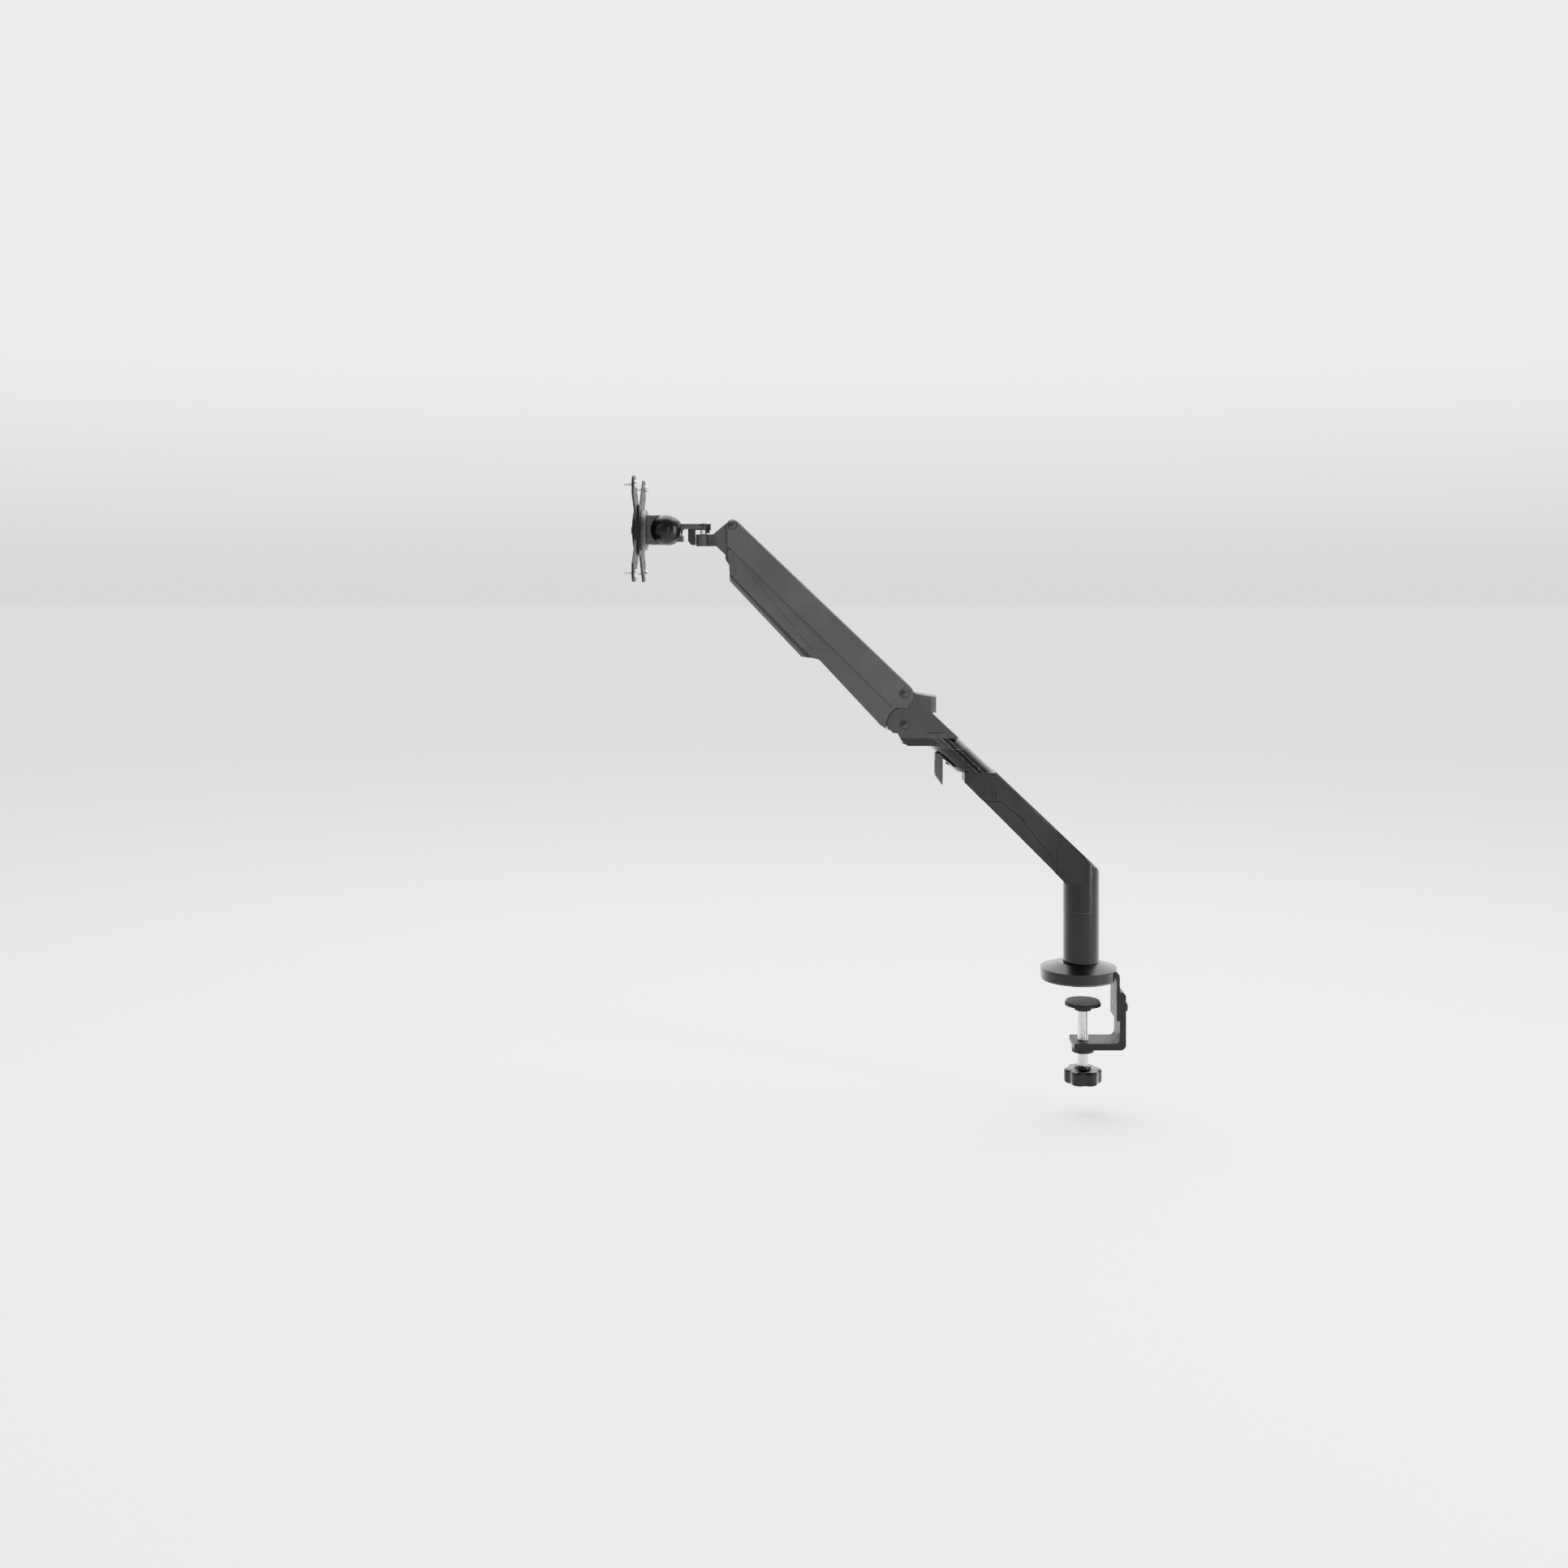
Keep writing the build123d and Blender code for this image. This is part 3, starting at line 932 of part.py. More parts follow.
with BuildPart() as head_bracket:
    across(SIDE, [
        (R[0] + 7.2, R[1]), (S[0] + 7.4, S[1]), around(S, 7.5, -45), around(S, 7.5, -90),
        around(S, 7.5, -135), (S[0] - 7.5, S[1] + 1.0), (S[0] - 19.8, BARREL_LOW),
        (PAN_X + 6, BARREL_LOW), (PAN_X + 6, BARREL_TOP), (R[0] - 23.0, BARREL_TOP),
        around(R, 7.2, 120), around(R, 7.2, 80), around(R, 7.2, 40)], EAR_HALF)
    # neck narrows to the pan barrel
    for side in (1, -1):
        with BuildSketch(Plane.XY.offset(BARREL_LOW - 20)):
            with BuildLine():
                Polyline(
                    (PAN_X, side * 8.0), (PAN_X + 7.5, side * 8.0), (PAN_X + 16.5, side * EAR_HALF),
                    (PAN_X + 16.5, side * 20), (PAN_X, side * 20), close=True)
            make_face()
        extrude(amount=60, mode=Mode.SUBTRACT)
    upright(PAN_X, 0, BARREL_R, BARREL_LOW, BARREL_TOP)
    disc_pair(SIDE, R, BOSS_R, EAR_HALF - 0.1, CHEEK_OUT)
    # bores for the lower pivot pin and, from both sides, the upper pivot screws
    cross_disc(SIDE, S, PIVOT_R, EAR_HALF, mode=Mode.SUBTRACT)
    disc_pair(SIDE, R, PIVOT_R, EAR_HALF - 2.0, CHEEK_OUT, mode=Mode.SUBTRACT)
    upright(PAN_X, 0, PAN_BUSH_R, BARREL_LOW, BARREL_TOP, mode=Mode.SUBTRACT)
    upright(PAN_X, 0, PAN_HEAD_R + SIDE_GAP, BARREL_LOW, BARREL_LOW + PAN_HEAD_T, mode=Mode.SUBTRACT)
head_bracket.part.label = "head_bracket"

with BuildPart() as pan_bush:
    ring(PAN_X, 0, PAN_BUSH_R, PIVOT_R + RUN_FIT, BARREL_LOW + PAN_HEAD_T, BARREL_TOP)
pan_bush.part.label = "pan_bush"

with BuildPart() as pan_spacer:
    ring(PAN_X, 0, 4.0, PIVOT_R, BARREL_TOP, YOKE_LOW)
pan_spacer.part.label = "pan_spacer"

with BuildPart() as pan_yoke:
    plate_low = YOKE_LOW
    # plate with a round end about the pan axis
    with BuildSketch(Plane.XY.offset(YOKE_LOW)):
        with Locations((PAN_X, 0)):
            Circle(YOKE_HALF)
        with Locations(((PAN_X + TILT[0]) / 2, 0)):
            Rectangle(PAN_X - TILT[0], 2 * YOKE_HALF)
    extrude(amount=YOKE_TOP - YOKE_LOW)
    with Locations((CAP_START_X + 10, 0, YOKE_TOP)):
        Box(20, 2 * YOKE_HALF + 2, 2 * CAP_T, mode=Mode.SUBTRACT)
    # level gap between the plate's left end and the tilt barrel
    cross_disc(SIDE, TILT, TILT_BARREL_R, TILT_HALF)
    across(SIDE, [
        (TILT[0], YOKE_LOW - 1.4), (TILT[0] + 19.8, YOKE_LOW - 1.4), (TILT[0] + 19.8, YOKE_LOW + 1),
        (TILT[0], YOKE_LOW + 1)], YOKE_HALF)
    # hooked tab below, and the stop column that guards the barrel
    across(SIDE, [
        (TILT[0] + 6, TILT[1] - 13.7), (TILT[0] + 19.3, TILT[1] - 13.7),
        (TILT[0] + 19.3, TILT[1] - 6.5), (TILT[0] + 15.5, TILT[1] - 6.5),
        (TILT[0] + 15.5, TILT[1] - 2.7), (TILT[0] + 6, TILT[1] - 2.7)], YOKE_HALF)
    cross_disc(SIDE, TILT, 6.0, TILT_HALF, mode=Mode.SUBTRACT)
    upright(PAN_X, 0, PIVOT_R, YOKE_LOW - 1, YOKE_TOP + 1, mode=Mode.SUBTRACT)
pan_yoke.part.label = "pan_yoke"

STOP_NEAR_X = PAN_X - BARREL_R - 0.4
with BuildPart() as pan_cover:
    across(SIDE, [
        (STOP_NEAR_X, YOKE_LOW), (STOP_NEAR_X, BARREL_LOW + 1.3), (STOP_NEAR_X - 5.0, BARREL_LOW + 1.3),
        (STOP_NEAR_X - 8.8, BARREL_LOW + 6.0), (STOP_NEAR_X - 8.8, YOKE_LOW)], 5.0)
    across(SIDE, [
        (PAN_X + 3.9, YOKE_LOW), (PAN_X + 7.4, YOKE_LOW), (PAN_X + 7.4, BARREL_TOP + 1.1),
        (PAN_X + 3.9, BARREL_TOP + 1.1)], 3.5)
    with BuildSketch(Plane.XY.offset(YOKE_LOW - 1.2)):
        with Locations(((STOP_NEAR_X + PAN_X) / 2, 0)):
            Rectangle(PAN_X - STOP_NEAR_X, 2 * 5.0)
        with Locations((PAN_X, 0)):
            Circle(YOKE_HALF + 0.8)
    extrude(amount=1.2)
    # rim round the yoke's end, and the cap on its step
    with BuildSketch(Plane.XY.offset(YOKE_LOW)):
        with Locations((PAN_X, 0)):
            Circle(YOKE_HALF + 0.8)
            Circle(YOKE_HALF, mode=Mode.SUBTRACT)
        with Locations((PAN_X - 10, 0)):
            Rectangle(20, 40, mode=Mode.SUBTRACT)
    extrude(amount=YOKE_TOP - YOKE_LOW)
    with BuildSketch(Plane.XY.offset(YOKE_TOP - CAP_T)):
        with Locations((PAN_X, 0)):
            Circle(YOKE_HALF + 0.8)
        with Locations((CAP_START_X - 10, 0)):
            Rectangle(20, 40, mode=Mode.SUBTRACT)
    extrude(amount=CAP_T)
    upright(PAN_X, 0, 4.0, BARREL_TOP, YOKE_LOW, mode=Mode.SUBTRACT)
    upright(PAN_X, 0, PIVOT_R, YOKE_LOW, YOKE_TOP + 1, mode=Mode.SUBTRACT)
pan_cover.part.label = "pan_cover"

with BuildPart() as pan_bolt:
    upright(PAN_X, 0, PIVOT_R, BARREL_LOW, YOKE_TOP - 0.4)
    upright(PAN_X, 0, 1.8, YOKE_TOP - 0.4, YOKE_TOP + 0.7)
    upright(PAN_X, 0, PAN_HEAD_R, BARREL_LOW + SIDE_GAP, BARREL_LOW + PAN_HEAD_T)
    with BuildSketch(Plane.XY.offset(BARREL_LOW + SIDE_GAP)):
        with Locations((PAN_X, 0)):
            RegularPolygon(2.5, 6, major_radius=False)
    extrude(amount=2.0, mode=Mode.SUBTRACT)
pan_bolt.part.label = "pan_bolt"

# ---- head: tilt joint --------------------------------------------------------------------
FORK_GAP = 0.6
FORK_WALL = 4.0
FORK_R = 16.9
DOME_R = 17.2
DOME_H = 11.0
DOME_RIM = 1.0
DOME_POCKET_R = 9.0
DOME_POCKET = 4.8
FLANGE_T = 4.0
FLANGE_BACK_X = TILT[0] - 18.7
FLANGE_X = FLANGE_BACK_X - FLANGE_T
fork_in = TILT_HALF + FORK_GAP
fork_out = fork_in + FORK_WALL

with BuildPart() as tilt_bush:
    cross_disc(SIDE, TILT, 6.0, TILT_HALF)
    cross_disc(SIDE, TILT, TILT_PIN_R + RUN_FIT, TILT_HALF, mode=Mode.SUBTRACT)
tilt_bush.part.label = "tilt_bush"

with BuildPart() as tilt_fork:
    disc_pair(SIDE, TILT, FORK_R, fork_in, fork_out)
    both_sides(SIDE, [
        (TILT[0], TILT[1] - FORK_R), (TILT[0], TILT[1] + FORK_R), (FLANGE_X, TILT[1] + FORK_R),
        (FLANGE_X, TILT[1] - FORK_R)], fork_in, fork_out)
    across(SIDE, [
        (FLANGE_X, TILT[1] - FORK_R), (FLANGE_BACK_X, TILT[1] - FORK_R),
        (FLANGE_BACK_X, TILT[1] + FORK_R), (FLANGE_X, TILT[1] + FORK_R)], fork_out)
    cross_disc(SIDE, TILT, TILT_PIN_R, fork_out, mode=Mode.SUBTRACT)
    with Locations(Plane(origin=(FLANGE_BACK_X, 0, TILT[1]), z_dir=(1, 0, 0))):
        Hole(3.0, depth=FLANGE_T * 2)
tilt_fork.part.label = "tilt_fork"

with BuildPart() as tilt_bolt:
    cross_disc(SIDE, TILT, TILT_PIN_R, fork_out)
    extrude(disc(SIDE.offset(-fork_out - 4.2), TILT, 6.5), amount=4.2)
    with BuildSketch(SIDE.offset(-fork_out - 4.2)):
        with Locations(TILT):
            RegularPolygon(3.0, 6, major_radius=False)
    extrude(amount=2.6, mode=Mode.SUBTRACT)
    extrude(disc(SIDE.offset(fork_out), TILT, TILT_PIN_R), amount=4.4)
tilt_bolt.part.label = "tilt_bolt"

with BuildPart() as tilt_nut:
    with BuildSketch(SIDE.offset(fork_out)):
        with Locations(TILT):
            RegularPolygon(6.5, 6, major_radius=False)
            Circle(TILT_PIN_R, mode=Mode.SUBTRACT)
    extrude(amount=4.0)
tilt_nut.part.label = "tilt_nut"

tilt_axis = Axis((TILT[0], 0, TILT[1]), (0, 1, 0))
# the dome is part of a sphere about a point on the tilt axis
rise = DOME_H - DOME_RIM
sphere_r = (DOME_R**2 + rise**2) / (2 * rise)
half_angle = asin(DOME_R / sphere_r) / 2
dome_mid_r = sphere_r * sin(half_angle)
dome_mid_y = DOME_H - sphere_r * (1 - cos(half_angle))
with BuildPart() as dome_caps:
    for side in (1, -1):
        foot = (TILT[0], side * fork_out, TILT[1])
        with BuildSketch(Plane(origin=foot, x_dir=(0, 0, 1), z_dir=(-side, 0, 0))):
            with BuildLine():
                Polyline((0, DOME_H), (0, 0), (DOME_R, 0), (DOME_R, DOME_RIM))
                ThreePointArc((DOME_R, DOME_RIM), (dome_mid_r, dome_mid_y), (0, DOME_H))
            make_face()
        revolve(axis=tilt_axis)
        pocket = Plane(origin=foot, x_dir=(1, 0, 0), z_dir=(0, side, 0))
        extrude(disc(pocket, (0, 0), DOME_POCKET_R), amount=DOME_POCKET, mode=Mode.SUBTRACT)
dome_caps.part.label = "dome_caps"

# ---- head: turning mounting plate --------------------------------------------------------
DISC_R = 23.5
DISC_T = 5.6
HUB_R = 8.0
WASHER_T = 0.3
SQUARE = 57.0
SQUARE_T = 2.6
VESA_T = 2.6
RETAINER_R = 24.0
RETAINER_T = 3.8
EAR = 10.0  # plate beyond the outer hole pattern
VESA_HOLE_R = 2.25
VESA_THREAD_R = 2.0
VESA_SCREW_HEAD_R = 4.5
SCREW_REACH = 9.5  # thread in front of the plate
disc_front = FLANGE_X - DISC_T
square_back = disc_front - WASHER_T
vesa_back = square_back - SQUARE_T
vesa_front = vesa_back - VESA_T
retainer_back = vesa_front - WASHER_T
retainer_front = retainer_back - RETAINER_T


def facing(x):
    """Upright plane across the plate's axis, local x along +Y, drawn forwards along -X."""
    return Plane(origin=(x, 0, TILT[1]), x_dir=(0, -1, 0), z_dir=(-1, 0, 0))


def forward(x, radius, length, mode=Mode.ADD):
    """A round piece on the plate's turning axis, forwards from x."""
    extrude(disc(facing(x), (0, 0), radius), amount=length, mode=mode)


with BuildPart() as turn_disc:
    forward(FLANGE_X, DISC_R, DISC_T)
    forward(disc_front, HUB_R, disc_front - retainer_back)
    forward(FLANGE_X, 3.0, 20.0, mode=Mode.SUBTRACT)
    chamfer(turn_disc.edges().filter_by(GeomType.CIRCLE).sort_by(Axis.X)[-2:-1], 0.8)
turn_disc.part.label = "turn_disc"

with BuildPart() as friction_washers:
    disc_pair(SIDE, TILT, 12.0, TILT_HALF, fork_in)
    disc_pair(SIDE, TILT, TILT_PIN_R + 0.1, TILT_HALF, fork_in, mode=Mode.SUBTRACT)
    for start in (disc_front, vesa_front):
        forward(start, DISC_R - 1.5, WASHER_T)
        forward(start, HUB_R, WASHER_T, mode=Mode.SUBTRACT)
friction_washers.part.label = "friction_washers"

with BuildPart() as square_plate:
    with BuildSketch(facing(square_back)):
        RectangleRounded(SQUARE, SQUARE, 4.0)
        Circle(HUB_R + RUN_FIT, mode=Mode.SUBTRACT)
    extrude(amount=SQUARE_T)
square_plate.part.label = "square_plate"

# a deep bay in each side of the plate leaves a cross of four ears
edge = PLATE_HOLES / 2 + EAR
with BuildSketch() as side_bay:
    with BuildLine():
        FilletPolyline(
            (edge + 8, 19.0 - edge), (edge, 21.0 - edge), (30.0, -11.0), (30.0, 11.0),
            (edge, edge - 21.0), (edge + 8, edge - 19.0), radius=3.0, close=True)
    make_face()

with BuildPart() as vesa_plate:
    with BuildSketch(facing(vesa_back)) as plate_face:
        RectangleRounded(PLATE_HOLES + 2 * EAR, PLATE_HOLES + 2 * EAR, 7.0)
        for turn in (0, 90, 180, 270):
            add(side_bay.sketch.rotate(Axis.Z, turn), mode=Mode.SUBTRACT)
        Circle(HUB_R + RUN_FIT, mode=Mode.SUBTRACT)
        with GridLocations(PLATE_HOLES, PLATE_HOLES, 2, 2):
            Circle(VESA_HOLE_R, mode=Mode.SUBTRACT)
        with GridLocations(PLATE_HOLES_SMALL, PLATE_HOLES_SMALL, 2, 2):
            Circle(VESA_HOLE_R, mode=Mode.SUBTRACT)
    extrude(amount=VESA_T)
vesa_plate.part.label = "vesa_plate"

with BuildPart() as retainer:
    forward(retainer_back, RETAINER_R, RETAINER_T)
    forward(retainer_back, 3.0, RETAINER_T, mode=Mode.SUBTRACT)
    chamfer(retainer.edges().filter_by(GeomType.CIRCLE).sort_by(Axis.X)[:1], 0.8)
retainer.part.label = "retainer"

with BuildPart() as turn_bolt:
    forward(FLANGE_BACK_X, 3.0, FLANGE_BACK_X - retainer_front)
    forward(retainer_front, 5.5, 3.2)
    with BuildSketch(facing(retainer_front - 3.2)):
        RegularPolygon(2.5, 6, major_radius=False)
    extrude(amount=-2.2, mode=Mode.SUBTRACT)
turn_bolt.part.label = "turn_bolt"

with BuildPart() as vesa_screws:
    with BuildSketch(facing(vesa_back + 4.0)):
        with GridLocations(PLATE_HOLES, PLATE_HOLES, 2, 2):
            Circle(VESA_SCREW_HEAD_R)
    extrude(amount=4.0)
    with BuildSketch(facing(vesa_back)):
        with GridLocations(PLATE_HOLES, PLATE_HOLES, 2, 2):
            Circle(VESA_HOLE_R - 0.05)
    extrude(amount=VESA_T)
    with BuildSketch(facing(vesa_front)):
        with GridLocations(PLATE_HOLES, PLATE_HOLES, 2, 2):
            Circle(VESA_THREAD_R)
    extrude(amount=SCREW_REACH)
vesa_screws.part.label = "vesa_screws"

# ---- export ------------------------------------------------------------------------------
os.makedirs("parts", exist_ok=True)
for piece in (
        base_pad, base_plate, clamp_strap, base_cover, pole, base_screws, pole_washer,
        clamp_jaw, bracket_bolts, press_pad, press_facing, clamp_screw, clamp_knob, lower_arm,
        lower_cable_cover, pole_bush, lock_screw, elbow_bush, elbow_washer, cable_loop,
        loop_screw, elbow_bracket, elbow_shaft, elbow_nut, tension_screw, anchor_block,
        anchor_pin, shoulder_screws, head_screws, head_pin, channel_bushes, link_bushes,
        upper_channel, strut_cylinder, strut_rod, strut_hanger, strut_pin, lower_link,
        lower_cover, cover_screws, side_panels, duct_cover, head_bracket, pan_bush, pan_spacer,
        pan_yoke, pan_cover, pan_bolt, tilt_bush, friction_washers, tilt_fork, tilt_bolt,
        tilt_nut, dome_caps, turn_disc, square_plate, vesa_plate, retainer, turn_bolt,
        vesa_screws):
    export_step(piece.part, "parts/" + piece.part.label + ".step")
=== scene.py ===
# %% [markdown]
# # A desk monitor arm
# The arm stands on a desk clamp.
# A short pole carries a slanted lower arm, an elbow, a spring arm made of two links,
# and a small head with a cross-shaped plate.
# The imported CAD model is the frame: every piece made here is placed in it, in metres.

# %% Load the frame
import json
import math

import bpy
import numpy as np
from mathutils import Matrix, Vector


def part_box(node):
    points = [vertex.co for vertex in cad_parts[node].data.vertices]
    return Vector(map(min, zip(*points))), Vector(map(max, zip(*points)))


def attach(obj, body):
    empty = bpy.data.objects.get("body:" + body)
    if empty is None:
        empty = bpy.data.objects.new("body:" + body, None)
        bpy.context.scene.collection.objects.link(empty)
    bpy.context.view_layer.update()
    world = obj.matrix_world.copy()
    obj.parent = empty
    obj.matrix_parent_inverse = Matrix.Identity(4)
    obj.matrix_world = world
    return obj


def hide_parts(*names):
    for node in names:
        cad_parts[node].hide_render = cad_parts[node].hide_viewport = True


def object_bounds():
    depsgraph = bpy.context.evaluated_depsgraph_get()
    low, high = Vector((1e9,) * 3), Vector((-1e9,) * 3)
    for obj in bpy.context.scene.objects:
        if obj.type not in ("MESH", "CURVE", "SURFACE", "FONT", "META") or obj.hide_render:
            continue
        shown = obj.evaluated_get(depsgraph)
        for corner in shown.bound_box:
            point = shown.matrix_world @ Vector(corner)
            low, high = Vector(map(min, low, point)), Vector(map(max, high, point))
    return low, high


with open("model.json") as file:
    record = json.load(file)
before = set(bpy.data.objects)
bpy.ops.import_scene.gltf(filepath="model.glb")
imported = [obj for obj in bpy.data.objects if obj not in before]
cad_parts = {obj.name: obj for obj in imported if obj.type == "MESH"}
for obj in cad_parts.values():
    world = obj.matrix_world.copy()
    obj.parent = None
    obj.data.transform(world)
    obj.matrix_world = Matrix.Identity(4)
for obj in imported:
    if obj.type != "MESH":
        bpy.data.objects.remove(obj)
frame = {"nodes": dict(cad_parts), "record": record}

MM = 0.001

cad_low, cad_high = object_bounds()
nodes = frame["nodes"]
print("nodes", len(nodes), "box", [round(v, 3) for v in cad_low], [round(v, 3) for v in cad_high])

# %% [markdown]
# ## Camera, floor and light
# The arm is seen square from its side, from a little under two metres away.
# The lens axis meets the arm near its upper end, and a small shift puts the whole arm in the frame.

# %% Camera
camera = bpy.data.objects.new("camera", bpy.data.cameras.new("camera"))
bpy.context.scene.collection.objects.link(camera)
camera.location = (-0.2882, -1.85, 0.452)
camera.rotation_euler = (math.pi / 2, 0, 0)
camera.data.sensor_width = 36.0
camera.data.lens = 36.73
camera.data.shift_x = -0.0305
camera.data.shift_y = -0.1253
camera.data.clip_end = 50
bpy.context.scene.camera = camera
print("lens", round(camera.data.lens, 2), "mm")


# %% Colour and node helpers
def linear(code, alpha=1.0):
    """An sRGB hex code as linear red, green, blue and alpha.

    Each channel c over 0.04045 becomes ((c + 0.055) / 1.055) to the power 2.4.
    """
    channels = [int(code[i:i + 2], 16) / 255 for i in (1, 3, 5)]
    return tuple(c / 12.92 if c <= 0.04045 else ((c + 0.055) / 1.055) ** 2.4 for c in channels) + (alpha,)


def node(tree, kind, inputs=(), **settings):
    """Add one node, set its attributes, and give each input a value or a link."""
    made = tree.nodes.new(kind)
    for name, value in settings.items():
        setattr(made, name, value)
    for name, value in dict(inputs).items():
        if isinstance(value, bpy.types.NodeSocket):
            tree.links.new(value, made.inputs[name])
        else:
            made.inputs[name].default_value = value
    return made


# a Mix node's colour sockets share their names with its other types, so they are called by place
COLOUR_A, COLOUR_B, COLOUR_OUT = 6, 7, 2
print("charcoal in linear light:", [round(c, 4) for c in linear("#47484b")])

# %% Pale floor
FLOOR_HALF = 60.0
# the clamp's knob moves down by its travel, so the floor lies just below its lowest place
CLAMP_DROP = 34 * MM
floor_z = cad_low[2] - CLAMP_DROP
floor_mesh = bpy.data.meshes.new("floor")
floor_mesh.from_pydata(
    [(x * FLOOR_HALF, y * FLOOR_HALF, floor_z) for x, y in ((-1, -1), (1, -1), (1, 1), (-1, 1))],
    [], [(0, 1, 2, 3)])
floor = bpy.data.objects.new("floor", floor_mesh)
bpy.context.scene.collection.objects.link(floor)
paper = bpy.data.materials.new("pale_matt_paper")
paper.use_nodes = True
shader = paper.node_tree.nodes["Principled BSDF"]
shader.inputs["Base Color"].default_value = linear("#efedea")
shader.inputs["Roughness"].default_value = 0.9
floor_mesh.materials.append(paper)
print("floor at", round(floor_z, 4), "m")

# %% Studio walls
FRONT_LIGHT, WALL_LIGHT, HORIZON_LIGHT = 1.1, 5.0, 2.1
world = bpy.data.worlds.new("studio")
bpy.context.scene.world = world
world.use_nodes = True
sky = world.node_tree
sky.nodes["Background"].inputs["Color"].default_value = linear("#fbf9f6")
# the wall behind the arm is bright, and the room on the viewer's side is dimmer,
# so dark gloss stays dark
direction = node(sky, "ShaderNodeTexCoord").outputs["Generated"]
split = node(sky, "ShaderNodeSeparateXYZ", {"Vector": direction})
wall_light = node(sky, "ShaderNodeMapRange", {
    "Value": split.outputs["Y"], "From Min": -0.35, "From Max": 0.55,
    "To Min": FRONT_LIGHT, "To Max": WALL_LIGHT}, interpolation_type="SMOOTHSTEP")
# at the horizon the wall is close to the far floor's brightness, so only a faint line shows between them
wall = node(sky, "ShaderNodeMapRange", {
    "Value": split.outputs["Z"], "From Min": 0.0, "From Max": 0.16,
    "To Min": HORIZON_LIGHT, "To Max": wall_light.outputs["Result"]}, interpolation_type="SMOOTHSTEP")
sky.links.new(wall.outputs["Result"], sky.nodes["Background"].inputs["Strength"])
print("world nodes:", len(sky.nodes))


# %% Soft lights
def softbox(name, place, width, height, watts):
    """A rectangular soft light at a place, turned so that it faces the arm's middle."""
    lamp = bpy.data.objects.new(name, bpy.data.lights.new(name, "AREA"))
    bpy.context.scene.collection.objects.link(lamp)
    lamp.data.shape = "RECTANGLE"
    lamp.data.size = width
    lamp.data.size_y = height
    lamp.data.energy = watts
    lamp.location = place
    lamp.rotation_euler = (Vector(middle) - Vector(place)).to_track_quat("-Z", "Y").to_euler()


middle = (cad_low + cad_high) / 2
softbox("key_left", (-1.7, -1.3, 1.5), 0.9, 1.3, 12)
softbox("strip_right", (1.5, -1.0, 0.6), 0.12, 1.5, 60)
softbox("strip_front", (0.35, -2.4, 0.7), 0.07, 1.6, 16)
softbox("top", (-0.2, 0.5, 2.2), 2.6, 1.8, 210)

# %% [markdown]
# ## Finishes
# The castings and the pressed channel are powder coated.
# Polyester powder melts to a skin about 0.08 mm thick with a fine orange peel,
# so highlights are broad and slightly broken.
# The grain of such a coat is near 0.3 mm.
# It is drawn two or three times as coarse, because finer would not show.
# Covers are moulded ABS with a spark-eroded texture, the pole and the domes are smooth and shiny,
# and the screws are black oxide or bright zinc.


# %% One family of coated and moulded finishes
BROAD_SCALE = 17.0  # handling marks and dust repeat about every 60 mm
POLISH_ROUGHNESS = 0.2


